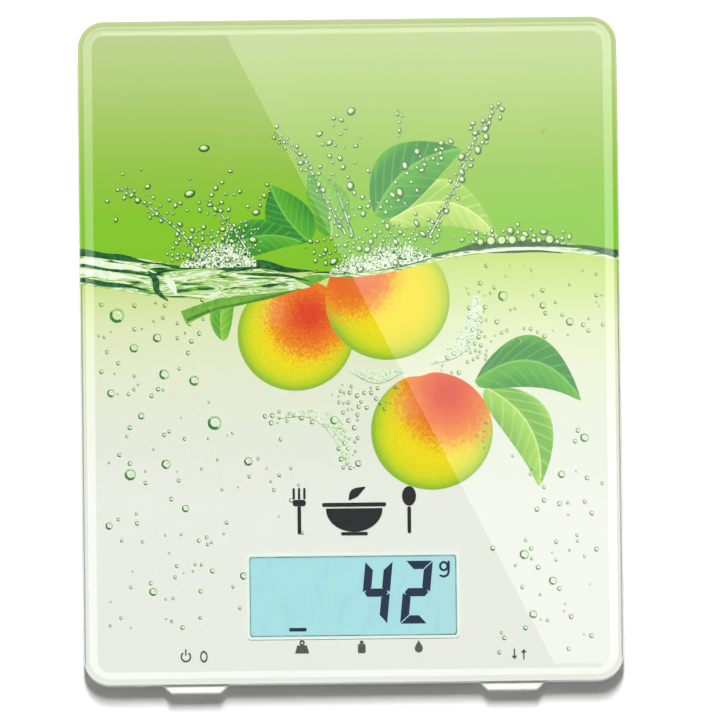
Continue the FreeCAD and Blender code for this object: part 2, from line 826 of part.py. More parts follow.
# ---------------------------------------------------------------- wires
def route(points):
    """A wire path of straight runs joined by the largest tangent arcs that they leave room for."""
    path = [Vector(*p) for p in points]
    edges, radii, start = [], [], path[0]
    for before, corner, after in zip(path, path[1:], path[2:]):
        back, on = before - corner, after - corner
        half_turn = (math.pi - back.getAngle(on)) / 2
        trim = arc_share * min(back.Length, on.Length)
        radius = trim / math.tan(half_turn)
        first = corner + back.normalize() * trim
        last = corner + on.normalize() * trim
        middle = corner + (back + on).normalize() * (radius / math.cos(half_turn) - radius)
        edges.append(Part.LineSegment(start, first).toShape())
        edges.append(Part.Arc(first, middle, last).toShape())
        radii.append(radius)
        start = last
    edges.append(Part.LineSegment(start, path[-1]).toShape())
    return Part.Wire(edges), min(radii)


def wire(points):
    """One insulated wire along a path, with its volume compared with its section times its length."""
    path, least_radius = route(points)
    start, towards = Vector(*points[0]), Vector(*points[1])
    ring = Part.Wire(Part.makeCircle(wire_radius, start, towards - start))
    tube = path.makePipeShell([ring], True, False)
    share = tube.Volume / (math.pi * wire_radius ** 2 * path.Length)
    print(f"wire {path.Length:.1f} mm, least radius {least_radius:.1f} mm, volume share {share:.4f}")
    return tube


def beside(points, offset):
    """A route moved sideways in plan so that it stays parallel to the first."""
    steps = [Vector(b[0] - a[0], b[1] - a[1], 0).normalize() for a, b in zip(points, points[1:])]
    sides = [Vector(-step.y, step.x, 0) for step in steps]
    return [Vector(*point) + (into + out) * (offset / (1 + into.dot(out)))
            for point, into, out in zip(points, sides[:1] + sides, sides + sides[-1:])]


def onto_board(x):
    """The last points of a route that climbs over the board's rear edge at x."""
    return [
        (x + 0.5, board_rear + 5.0, wire_low + 0.4),
        (x, board_rear + 1.0, wire_on_board + 0.15),
        (x - 0.1, board_rear - 2.0, wire_on_board),
    ]


def front_sensor_route():
    """Middle wire of the front right sensor."""
    x, y, land = foot_x, gauge_end, board_half_width - front_landing
    return [
        (x, y - solder_lap, wire_on_gauge),
        (x, y + plate_edge - 0.6, wire_on_gauge - 0.05),
        (x - 0.5, y + plate_edge + 5.0, wire_low),
        (x - 5.5, y + plate_edge + 11.5, wire_low),
        (x - 15.0, y + plate_edge + 13.0, wire_low),
        (land + 8.0, board_rear + 9.0, wire_low),
    ] + onto_board(land)


def rear_sensor_route():
    """Middle wire of the rear right sensor, which runs forward outside the battery bay."""
    x, y, land = foot_x, -gauge_end, board_half_width - rear_landing
    span = y - board_rear
    return [
        (x, y + solder_lap, wire_on_gauge),
        (x, y - plate_edge + 0.6, wire_on_gauge - 0.05),
        (x - 0.5, y - plate_edge - 5.0, wire_low),
        (x - 3.5, board_rear + 0.79 * span, wire_low),
        (x - 8.0, board_rear + 0.56 * span, wire_low),
        (x - 9.5, board_rear + 0.36 * span, wire_low),
        (x - 17.0, board_rear + 0.19 * span, wire_low),
        (land + 10.0, board_rear + 13.5, wire_low),
        (land + 2.5, board_rear + 9.5, wire_low),
    ] + onto_board(land)


def sensor_wires(offset):
    """The four sensors' wires of one colour, as separate solids."""
    tubes = []
    for points in (front_sensor_route(), rear_sensor_route()):
        tubes += both_sides(wire(beside(points, offset)))
    return Part.makeCompound(tubes)


def battery_wire_positive():
    """Wire from the positive contact down past the bay to the board."""
    x, high = well_radius + contact_lead - 1.2, bay_roof_bottom - positive_drop + wire_radius
    front = hinge_y - barrel_cut_radius - bay_surround_wall
    land = positive_landing
    return wire([
        (x, cell_y + 0.5, high),
        (x, cell_y - 6.5, high - 0.05),
        (x - 0.4, front + 1.5, surround_top + wire_radius + 0.7),
        (x - 2.0, front - 9.0, wire_low),
        (x - 5.0, front - 22.0, wire_low),
        (land + 1.0, board_rear + 11.5, wire_low),
    ] + onto_board(land))


def battery_wire_negative():
    """Wire from the negative contact to the board."""
    y, high = cell_y - well_radius - contact_lead, bay_roof_bottom + wire_radius
    land = negative_landing
    return wire([
        (0.0, y + 1.5, high),
        (0.0, y - 3.0, high - 0.05),
        (-0.5, y - 9.0, surround_top + wire_radius),
        (-2.5, y - 17.0, wire_low),
        (-4.0, y - 29.0, wire_low),
        (land - 1.0, board_rear + 12.0, wire_low),
    ] + onto_board(land))


# ---------------------------------------------------------------- all pieces
def all_parts():
    """Every node by name."""
    parts = {
        "glass_platform": glass_platform(),
        "printed_layer": printed_layer(),
        "mounting_tape": mounting_tape(),
        "upper_frame": upper_frame(),
        "base_cover": base_cover(),
        "case_screws": case_screws(),
        "lcd_front_glass": lcd_front_glass(),
        "lcd_rear_glass": lcd_rear_glass(),
        "lcd_backlight": lcd_backlight(),
        "lcd_bracket": lcd_bracket(),
        "zebra_strip": zebra_strip(),
        "main_board": main_board(),
        "board_screws": board_screws(),
        "controller_blob": controller_blob(),
        "converter_chip": converter_chip(),
        "board_components": board_components(),
        "coin_cell": coin_cell(),
        "battery_contact_negative": contact_negative(),
        "battery_contact_positive": contact_positive(),
        "battery_door": battery_door(),
        "battery_door_latch": battery_door_latch(),
        "battery_door_pad": battery_door_pad(),
        "sensor_screws": sensor_screws(),
        "battery_wire_positive": battery_wire_positive(),
        "battery_wire_negative": battery_wire_negative(),
    }
    for kind, make in (("button", edge_button), ("switch", switch_body), ("switch_plunger", switch_plunger)):
        parts[f"mode_{kind}"], parts[f"tare_{kind}"] = both_sides(make())
    for kind, make in (("foot_cap", foot_cap), ("foot_pad", foot_pad), ("foot_screw", foot_screw),
                       ("load_sensor", load_sensor), ("strain_gauge", strain_gauge)):
        for corner, shape in at_corners(make()).items():
            parts[f"{kind}_{corner}"] = shape
    for index, colour in enumerate(("red", "white", "black")):
        parts[f"sensor_wires_{colour}"] = sensor_wires((index - 1) * wire_pitch)
    return parts


def main():
    """Writes each node, moved so that the whole outline is centred on the origin."""
    os.makedirs("parts", exist_ok=True)
    for name, shape in all_parts().items():
        placed = shape.copy()
        placed.translate(outline_shift)
        assert placed.isValid() and placed.Volume > 0, name
        placed.exportStep(f"parts/{name}.step")


main()
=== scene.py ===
"""Studio scene of a slim kitchen scale with a printed glass platform, a lit display and two edge buttons.

Lengths in the dataclass fields are millimetres, where nothing else is said. Plan positions are counted from
the middle of the glass, with x to the user's right and y away from the user. Everything that reaches Blender
is in metres, in the frame of the scale.
"""
from __future__ import annotations

import json
import logging
import math
import random
from dataclasses import dataclass
from enum import Enum
from functools import partial
from typing import Callable, Sequence, Union

import bmesh
import bpy
from mathutils import Matrix, Vector

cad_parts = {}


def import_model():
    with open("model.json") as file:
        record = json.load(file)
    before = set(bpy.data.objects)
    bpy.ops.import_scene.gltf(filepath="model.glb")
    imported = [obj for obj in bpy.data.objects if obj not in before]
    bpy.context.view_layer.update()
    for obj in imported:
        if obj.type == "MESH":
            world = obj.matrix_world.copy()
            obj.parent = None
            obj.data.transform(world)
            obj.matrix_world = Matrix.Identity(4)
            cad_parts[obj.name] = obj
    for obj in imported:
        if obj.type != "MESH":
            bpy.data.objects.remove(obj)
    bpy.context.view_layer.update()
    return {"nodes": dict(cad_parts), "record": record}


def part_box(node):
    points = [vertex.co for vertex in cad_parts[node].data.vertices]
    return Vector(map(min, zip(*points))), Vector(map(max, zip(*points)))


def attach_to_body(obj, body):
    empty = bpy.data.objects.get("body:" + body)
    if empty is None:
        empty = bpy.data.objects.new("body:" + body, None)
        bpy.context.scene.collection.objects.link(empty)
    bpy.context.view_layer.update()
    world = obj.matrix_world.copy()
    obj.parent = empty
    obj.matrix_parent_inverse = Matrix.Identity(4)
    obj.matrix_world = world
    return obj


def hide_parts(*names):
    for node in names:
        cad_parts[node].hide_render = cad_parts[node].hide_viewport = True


LOG = logging.getLogger("kitchen_scale")
MM = 0.001
SMOOTH = {"interpolation_type": "SMOOTHSTEP"}

Point = tuple[float, float]
Outline = list[Point]
Circle = tuple[float, float, float]
Stops = tuple[tuple[float, str], ...]
Source = Union[bpy.types.Node, bpy.types.NodeSocket]
Add = Callable[..., bpy.types.Node]
Piece = bpy.types.Object
Shape = bmesh.types.BMesh


# ---------------------------------------------------------------------------------------- colour and nodes
def linear(code: str) -> tuple[float, float, float, float]:
    """Turns an sRGB hex colour into the linear colour that shaders use.

    Args:
        code: Six hex digits, with or without a leading hash.

    Returns:
        Linear red, green and blue, and an alpha of 1.
    """
    digits = code.lstrip("#")
    parts = [int(digits[i:i + 2], 16) / 255 for i in (0, 2, 4)]
    red, green, blue = (c / 12.92 if c <= 0.04045 else ((c + 0.055) / 1.055) ** 2.4 for c in parts)
    return red, green, blue, 1.0


def add_node(
    tree: bpy.types.NodeTree,
    kind: str,
    settings: dict[str | int, object] | None = None,
    links: dict[str | int, Source] | None = None,
) -> bpy.types.Node:
    """Adds one node with its settings and links.

    Args:
        tree: The node tree that the node goes into.
        kind: The node's Blender type name, without "ShaderNode" in front of it.
        settings: Values by input name, input number or property name. "stops" fills a colour ramp.
        links: Sources by input name or input number. A node stands for its first output.

    Returns:
        The new node.
    """
    new = tree.nodes.new("ShaderNode" + kind)
    for key, value in (settings or {}).items():
        if key == "stops":
            ramp = new.color_ramp
            while len(ramp.elements) < len(value):
                ramp.elements.new(1.0)
            for element, (place, colour) in zip(ramp.elements, value):
                element.position = place
                element.color = linear(colour)
        elif isinstance(key, int) or key in new.inputs:
            new.inputs[key].default_value = value
        else:
            setattr(new, key, value)
    for key, source in (links or {}).items():
        socket = source.outputs[0] if isinstance(source, bpy.types.Node) else source
        tree.links.new(socket, new.inputs[key])
    return new


@dataclass(frozen=True)
class Finish:
    """A surface finish that makes its own material once."""

    name: str

    def material(self) -> bpy.types.Material:
        """Returns the finish's material, made on first use."""
        known = bpy.data.materials.get(self.name)
        if known:
            return known
        material = bpy.data.materials.new(self.name)
        material.use_nodes = True
        material.node_tree.nodes.clear()
        add = partial(add_node, material.node_tree)
        add("OutputMaterial", links={"Surface": self.shade(add)})
        return material

    def shade(self, add: Add) -> Source:
        """Builds the nodes and returns the shader."""
        raise NotImplementedError

    def place(self, add: Add) -> Source:
        """Returns positions on the piece, in metres from its origin."""
        return add("TexCoord").outputs["Object"]


@dataclass(frozen=True)
class Grained(Finish):
    """A solid material with a fine grain in its colour, roughness and height.

    Attributes:
        base: Main colour, as sRGB hex.
        fleck: Colour that the grain turns to, as sRGB hex.
        grain: Size of the grain in millimetres.
        roughness: Mean roughness.
        spread: How far the roughness goes to either side of the mean.
        relief: Height of the grain in millimetres.
        metallic: 1 for bare metal.
        ior: Index of refraction, left at its default on metal.
        stretch: How many times longer the grain is along x, y and z.
        coat: Weight of a clear layer on top.
    """

    base: str = "#808080"
    fleck: str = "#808080"
    grain: float = 0.3
    roughness: float = 0.5
    spread: float = 0.06
    relief: float = 0.004
    metallic: float = 0.0
    ior: float = 1.5
    stretch: tuple[float, float, float] = (1.0, 1.0, 1.0)
    coat: float = 0.0

    def shade(self, add: Add) -> Source:
        """Builds a Principled shader whose colour, roughness and bump follow one grain."""
        scale = tuple(1 / (self.grain * MM * s) for s in self.stretch)
        grid = add("Mapping", {"Scale": scale}, {"Vector": self.place(add)})
        grain = add("TexNoise", {"Scale": 1.0, "Detail": 3.0}, {"Vector": grid})
        colour = add("ValToRGB", {"stops": [(0.35, self.base), (0.75, self.fleck)]}, {"Fac": grain})
        span = {"To Min": self.roughness - self.spread, "To Max": self.roughness + self.spread}
        rough = add("MapRange", span, {"Value": grain})
        bump = add("Bump", {"Distance": self.relief * MM, "Strength": 1.0}, {"Height": grain})
        return add(
            "BsdfPrincipled",
            {"Metallic": self.metallic, "IOR": self.ior, "Coat Weight": self.coat, "Coat Roughness": 0.05},
            {"Base Color": colour, "Roughness": rough, "Normal": bump},
        )


@dataclass(frozen=True)
class FloatGlass(Finish):
    """Soda-lime float glass, ground and polished: clear, faintly green, with a mirror surface."""

    tint: str = "#F7FAF7"
    shade_tint: str = "#FBFDFB"
    polish: float = 0.0
    ior: float = 1.52

    def shade(self, add: Add) -> Source:
        """Builds glass that lets the studio's light straight through to the print behind it."""
        glass = add(
            "BsdfPrincipled",
            {"Base Color": linear(self.tint), "Roughness": self.polish, "IOR": self.ior,
             "Transmission Weight": 1.0},
        )
        clear = add("BsdfTransparent", {"Color": linear(self.shade_tint)})
        path = add("LightPath")
        lamp = add(
            "Math", {"operation": "MAXIMUM"},
            {0: path.outputs["Is Shadow Ray"], 1: path.outputs["Is Diffuse Ray"]},
        )
        return add("MixShader", links={"Fac": lamp, 1: glass, 2: clear})


@dataclass(frozen=True)
class PrintedInk(Finish):
    """Screen-printed ceramic ink, fired on the back of the glass: dull, with hardly any shine of its own."""

    # Every ink has these, so they are no fields of its own.
    roughness = 0.7
    shine = 0.1

    def colour(self, add: Add, place: Source) -> Source:
        """Builds the nodes of the ink's colour from positions on the piece, and returns the colour."""
        raise NotImplementedError

    def shade(self, add: Add) -> Source:
        """Builds a dull shader in the ink's colour."""
        return add(
            "BsdfPrincipled", {"Roughness": self.roughness, "Specular IOR Level": self.shine},
            {"Base Color": self.colour(add, self.place(add))},
        )

    def uneven(
        self, add: Add, place: Source, colour: Source, size: float, detail: float, spread: float
    ) -> Source:
        """Returns a colour that a grain makes lighter and darker.

        Args:
            add: Adds a node to the material.
            place: Positions on the piece.
            colour: The colour that is changed.
            size: Size of the grain in millimetres.
            detail: How many finer grains lie over it.
            spread: How far the brightness goes to either side.
        """
        grain = add("TexNoise", {"Scale": 1 / (size * MM), "Detail": detail}, {"Vector": place})
        level = add("MapRange", {"To Min": 1 - spread, "To Max": 1 + spread}, {"Value": grain})
        return add("HueSaturation", links={"Value": level, "Color": colour})


@dataclass(frozen=True)
class Ink(PrintedInk):
    """An ink of one colour with a barely uneven lay-down: it drifts between a dense and a thin colour."""

    dense: str = "#808080"
    thin: str = "#909090"
    blotch: float = 2.5

    def colour(self, add: Add, place: Source) -> Source:
        """Builds blotches between the dense and the thin colour."""
        noise = add("TexNoise", {"Scale": 1 / (self.blotch * MM), "Detail": 4.0}, {"Vector": place})
        return add("ValToRGB", {"stops": [(0.3, self.dense), (0.7, self.thin)]}, {"Fac": noise})


@dataclass(frozen=True)
class GroundInk(PrintedInk):
    """Printed background: green above the water, fading to a pale ground towards the user.

    Attributes:
        middle: y of the glass's middle in metres, in the frame of the scale.
        low: y of the first stop in millimetres, from the middle.
        high: y of the last stop in millimetres, from the middle.
        stops: y in millimetres from the middle, and colour.
        cloud: Size of the clouds in millimetres.
        drift: How far the clouds move the colours, in millimetres.
    """

    roughness = 0.75
    middle: float = 0.0
    low: float = -100.0
    high: float = 100.0
    stops: Stops = ()
    cloud: float = 26.0
    drift: float = 3.0

    def colour(self, add: Add, place: Source) -> Source:
        """Builds a ramp along y with soft clouds and a fine print grain."""
        y = add("SeparateXYZ", links={0: place}).outputs["Y"]
        cloud = add("TexNoise", {"Scale": 1 / (self.cloud * MM), "Detail": 2.0}, {"Vector": place})
        reach = self.drift * MM
        drift = add("MapRange", {"To Min": -reach, "To Max": reach}, {"Value": cloud})
        moved = add("Math", {"operation": "ADD"}, {0: y, 1: drift})
        ends = {"From Min": self.middle + self.low * MM, "From Max": self.middle + self.high * MM}
        share = add("MapRange", ends, {"Value": moved})
        stops = [((place_mm - self.low) / (self.high - self.low), colour) for place_mm, colour in self.stops]
        ramp = add("ValToRGB", {"stops": stops}, {"Fac": share})
        return self.uneven(add, place, ramp, size=0.5, detail=2.0, spread=0.015)


@dataclass(frozen=True)
class FruitInk(PrintedInk):
    """Printed picture of a ripe stone fruit: yellow, green towards its edge, with a red blush and tiny pores.

    Attributes:
        radius: Radius of the fruit in millimetres.
        blush: Middle of the blush, as shares of the radius.
        blush_size: Radius of the blush, as a share of the fruit's.
        ripe: Colour in the middle of the blush, as sRGB hex.
        body: Colours from the fruit's middle to its edge.
        warm: Colours from the edge of the blush inwards, without the ripe one.
        mottle: Size of the blush's speckles in millimetres.
        pore: Distance between pores in millimetres.
    """

    radius: float = 17.0
    blush: Point = (0.25, 0.45)
    blush_size: float = 0.95
    ripe: str = "#DC3F1A"
    body: Stops = ((0.0, "#F4DE04"), (0.55, "#F0DC08"), (0.8, "#DAD914"), (0.93, "#B7CE22"), (1.0, "#8FBB2C"))
    warm: Stops = ((0.0, "#F0C40A"), (0.24, "#F09A12"), (0.52, "#EA6E18"))
    mottle: float = 0.8
    pore: float = 0.9

    def from_point(self, add: Add, place: Source, point: Point) -> Source:
        """Returns the distance from a point of the fruit, as a share of its radius."""
        scale = (1 / (self.radius * MM),) * 2 + (0.0,)
        settings = {"Location": (-point[0], -point[1], 0.0), "Scale": scale}
        moved = add("Mapping", settings, {"Vector": place})
        return add("VectorMath", {"operation": "LENGTH"}, {0: moved}).outputs["Value"]

    def colour(self, add: Add, place: Source) -> Source:
        """Builds the body colour, the blush over it, the soft highlight and the pores."""
        body = add("ValToRGB", {"stops": self.body}, {"Fac": self.from_point(add, place, (0.02, 0.04))})
        mottle = add(
            "TexNoise", {"Scale": 1 / (self.mottle * MM), "Detail": 4.0, "Roughness": 0.9},
            {"Vector": place},
        )
        uneven = add("MapRange", {"To Min": -0.6, "To Max": 0.6}, {"Value": mottle})
        reach = add("Math", {"operation": "ADD"}, {0: self.from_point(add, place, self.blush), 1: uneven})
        share = add(
            "MapRange", {"From Max": self.blush_size, "To Min": 1.0, "To Max": 0.0}, {"Value": reach}
        )
        warm = add("ValToRGB", {"stops": [*self.warm, (0.85, self.ripe)]}, {"Fac": share})
        cover = add("MapRange", {"From Max": 0.35, **SMOOTH}, {"Value": share})
        ripe = add("Mix", {"data_type": "RGBA"}, {"Factor": cover, 6: body, 7: warm})
        shine = add(
            "MapRange", {"From Min": 0.0, "From Max": 0.42, "To Min": 0.08, "To Max": 0.0, **SMOOTH},
            {"Value": self.from_point(add, place, (-0.38, 0.42))},
        )
        lit = add("Mix", {"data_type": "RGBA", 7: linear("#FFF4CC")}, {"Factor": shine, 6: ripe.outputs[2]})
        pores = add("TexVoronoi", {"Scale": 1 / (self.pore * MM)}, {"Vector": place})
        level = add("MapRange", {"From Max": 0.5, "To Min": 1.08, "To Max": 0.97}, {"Value": pores})
        return add("HueSaturation", links={"Value": level, "Color": lit.outputs[2]})


@dataclass(frozen=True)
class LeafInk(PrintedInk):
    """Printed picture of a leaf: one half lit, one half in shade, with side veins that leave the midrib.

    Attributes:
        lit: Colour of the lit half.
        shaded: Colour of the shaded half.
        vein: Colour of the veins.
        length: Length of the leaf in millimetres.
        half_width: Half of the leaf's width in millimetres.
        bend: Rise of its middle, as a share of its length.
        side_veins: How many side veins it has on each side.
        slant: How far a side vein runs towards the tip, for each step that it takes away from the midrib.
    """

    lit: str = "#6DB52C"
    shaded: str = "#2F7D1E"
    vein: str = "#A9D66A"
    length: float = 30.0
    half_width: float = 7.0
    bend: float = 0.2
    side_veins: int = 8
    slant: float = 1.1

    def colour(self, add: Add, place: Source) -> Source:
        """Builds the two halves and the slanting veins over them."""
        axes = add("SeparateXYZ", links={0: place})
        x, y = axes.outputs["X"], axes.outputs["Y"]
        square = add("Math", {"operation": "MULTIPLY"}, {0: x, 1: x})
        lifted = add(
            "Math", {"operation": "MULTIPLY_ADD", 1: 2 * self.bend / (self.length * MM)}, {0: square, 2: y}
        )
        from_rib = add("Math", {"operation": "SUBTRACT", 1: self.bend * self.length * MM / 2}, {0: lifted})
        half = self.half_width * MM
        across = add("MapRange", {"From Min": -half, "From Max": half}, {"Value": from_rib})
        stops = ((0.0, self.shaded), (0.42, self.lit), (0.475, self.lit), (0.495, self.vein),
                 (0.515, self.vein), (0.54, self.shaded), (0.8, self.shaded), (1.0, self.lit))
        halves = add("ValToRGB", {"stops": stops}, {"Fac": across})
        away = add("Math", {"operation": "ABSOLUTE"}, {0: from_rib})
        along = add("Math", {"operation": "MULTIPLY_ADD", 1: -self.slant}, {0: away, 2: x})
        turns = 2 * math.pi * self.side_veins / (self.length * MM)
        wave = add("Math", {"operation": "MULTIPLY", 1: turns}, {0: along})
        crest = add("Math", {"operation": "SINE"}, {0: wave})
        line = add(
            "MapRange", {"From Min": 0.6, "From Max": 1.0, "To Max": 0.34, **SMOOTH}, {"Value": crest}
        )
        veined = add("Mix", {"data_type": "RGBA", 7: linear(self.vein)}, {"Factor": line, 6: halves})
        return self.uneven(add, place, veined.outputs[2], size=3.0, detail=4.0, spread=0.12)


@dataclass(frozen=True)
class RippleInk(PrintedInk):
    """Printed picture of moving water: bent streaks from nearly black green to white.

    Attributes:
        length: Length of a streak in millimetres.
        height: Height of a streak in millimetres.
        bend: How far the streaks are bent, in streak heights.
        stops: Share of the noise, and colour.
    """

    length: float = 9.0
    height: float = 1.3
    bend: float = 1.2
    stops: Stops = ()

    def colour(self, add: Add, place: Source) -> Source:
        """Builds streaks from stretched noise, through a ramp with hard steps between light and dark."""
        scale = (1 / (self.length * MM), 1 / (self.height * MM), 1.0)
        grid = add("Mapping", {"Scale": scale}, {"Vector": place})
        streaks = add(
            "TexNoise", {"Scale": 1.0, "Detail": 2.5, "Roughness": 0.55, "Distortion": self.bend},
            {"Vector": grid},
        )
        return add("ValToRGB", {"stops": self.stops}, {"Fac": streaks})


@dataclass(frozen=True)
class LitDisplay(Finish):
    """Back-lit display cell: an even cyan glow, a little bluer to the right, with faint idle segments."""

    left: str = "#9FD3D8"
    right: str = "#A5D1D5"
    idle: str = "#9AC0DC"
    unlit: str = "#3A5558"
    width: float = 61.4
    segment: Point = (3.0, 9.0)
    glow: float = 1.12

    def shade(self, add: Add) -> Source:
        """Builds a dim surface with the glow added to it."""
        place = self.place(add)
        x = add("SeparateXYZ", links={0: place}).outputs["X"]
        half = self.width / 2 * MM
        share = add("MapRange", {"From Min": -half, "From Max": half}, {"Value": x})
        stops = ((0.0, self.left), (0.45, self.left), (1.0, self.right))
        ground = add("ValToRGB", {"stops": stops}, {"Fac": share})
        scale = (1 / (self.segment[0] * MM), 1 / (self.segment[1] * MM), 1.0)
        grid = add("Mapping", {"Scale": scale}, {"Vector": place})
        ghost = add("TexNoise", {"Scale": 1.0, "Detail": 1.0}, {"Vector": grid})
        faint = add("MapRange", {"From Min": 0.5, "From Max": 0.75, "To Max": 0.5}, {"Value": ghost})
        colour = add("Mix", {"data_type": "RGBA", 7: linear(self.idle)}, {"Factor": faint, 6: ground})
        return add(
            "BsdfPrincipled",
            {"Base Color": linear(self.unlit), "Roughness": 0.5, "Specular IOR Level": 0.1,
             "Emission Strength": self.glow},
            {"Emission Color": colour.outputs[2]},
        )


@dataclass(frozen=True)
class BoardLaminate(Finish):
    """Glass-epoxy board under solder mask: dark green where there is copper, lighter between the tracks."""

    mask: str = "#1B5E34"
    track: str = "#2E7F4A"
    pitch: float = 1.6
    stretch: float = 6.0

    def shade(self, add: Add) -> Source:
        """Builds a glossy mask with rows of tracks under it."""
        scale = (1 / (self.pitch * MM), 1 / (self.stretch * self.pitch * MM), 1.0)
        grid = add("Mapping", {"Scale": scale}, {"Vector": self.place(add)})
        mask, track = linear(self.mask), linear(self.track)
        cells = add(
            "TexBrick",
            {"Scale": 1.0, "Mortar Size": 0.08, "Color1": mask, "Color2": mask, "Mortar": track},
            {"Vector": grid},
        )
        bump = add("Bump", {"Distance": 0.02 * MM, "Strength": 0.6}, {"Height": cells.outputs["Fac"]})
        return add(
            "BsdfPrincipled", {"Roughness": 0.28, "Coat Weight": 0.3}, {"Base Color": cells, "Normal": bump}
        )


# ------------------------------------------------------------------------------------------------ finishes
# Soda-lime float glass, cut, edge-ground and polished: the print shows through a clear, mirror-flat top, and
# the edge gathers light.
TEMPERED_GLASS = FloatGlass("soda_lime_float_glass_polished")
# Ceramic inks, screen-printed and fired: the green ground, the pictures and the signs are dull and sit in the
# glass.
INK_WATER_DARK = Ink("ceramic_ink_water_dark_green", dense="#06301A", thin="#2A7A38", blotch=1.4)
INK_WATER_MID = Ink("ceramic_ink_water_mid_green", dense="#5E9F38", thin="#B5D874", blotch=1.6)
INK_WATER_LIGHT = Ink("ceramic_ink_water_white", dense="#F6FBEF", thin="#DDEFC4", blotch=2.0)
INK_FOLDS = RippleInk(
    "ceramic_ink_water_folds", length=11.0, height=1.5, bend=1.6,
    stops=((0.3, "#0A3A1C"), (0.38, "#3F8F34"), (0.44, "#A7CF5E"), (0.5, "#F4F8EA"), (0.56, "#CBE394"),
           (0.61, "#6DB13A"), (0.68, "#D9EBB2"), (0.74, "#2E7A30")),
)
INK_SPRAY = RippleInk(
    "ceramic_ink_water_spray", length=1.5, height=1.2, bend=1.4,
    stops=((0.34, "#0C4A22"), (0.42, "#3C8A3A"), (0.48, "#E9F3D3"), (0.56, "#FBFDF6"), (0.6, "#A9CF74"),
           (0.66, "#1F6A2E")),
)
INK_SWIRL = RippleInk(
    "ceramic_ink_water_swirl", length=2.2, height=1.6, bend=2.2,
    stops=((0.3, "#7FB46A"), (0.4, "#CDE0BA"), (0.5, "#EDF2E2"), (0.58, "#DCE8CB"), (0.66, "#A9CB8D")),
)
INK_BEAD = Ink("ceramic_ink_bead_yellow_green", dense="#B4D860", thin="#E3F0B8", blotch=1.2)
INK_BUBBLE = Ink("ceramic_ink_bubble_green", dense="#9CC67A", thin="#BFD9A6", blotch=2.0)
INK_BUBBLE_DARK = Ink("ceramic_ink_bubble_shade", dense="#1E6F2A", thin="#45923F", blotch=2.0)
INK_STEM = Ink("ceramic_ink_stem_green", dense="#5C9E30", thin="#7DB744", blotch=2.0)
INK_STEM_SHADE = Ink("ceramic_ink_stem_shade", dense="#3F7A22", thin="#55902C", blotch=2.0)
INK_BLACK = Ink("ceramic_ink_black", dense="#1F1F21", thin="#28282A", blotch=1.5)
INK_GREY = Ink("ceramic_ink_dark_grey", dense="#4A4E4A", thin="#5A5E5A", blotch=1.0)
INK_OUTLINE = Ink("ceramic_ink_window_teal", dense="#5F8284", thin="#91B9B8", blotch=5.0)
INK_HALO = Ink("ceramic_ink_window_halo", dense="#EEF6F1", thin="#E4F1EC", blotch=5.0)
# Twisted-nematic display: liquid-crystal segments switched to dark blue, in front of a cyan light guide.
LCD_SEGMENT = Ink("liquid_crystal_segment_dark", dense="#072849", thin="#0C2045", blotch=3.0)
LCD_LIT = LitDisplay("lcd_glass_backlit_cyan")
# Acrylic light guide, moulded and printed with white dots: milky, with a soft gloss.
ACRYLIC_GUIDE = Grained(
    "acrylic_light_guide", base="#EAF4F2", fleck="#DDEBEA", grain=0.6, roughness=0.2, coat=0.3,
)
# Matt paper sweep, white: lets shadows fade softly.
PAPER_SWEEP = Grained(
    "paper_sweep_white", base="#FFFFFF", fleck="#FCFCFC", grain=1.2, roughness=0.9, relief=0.01,
)

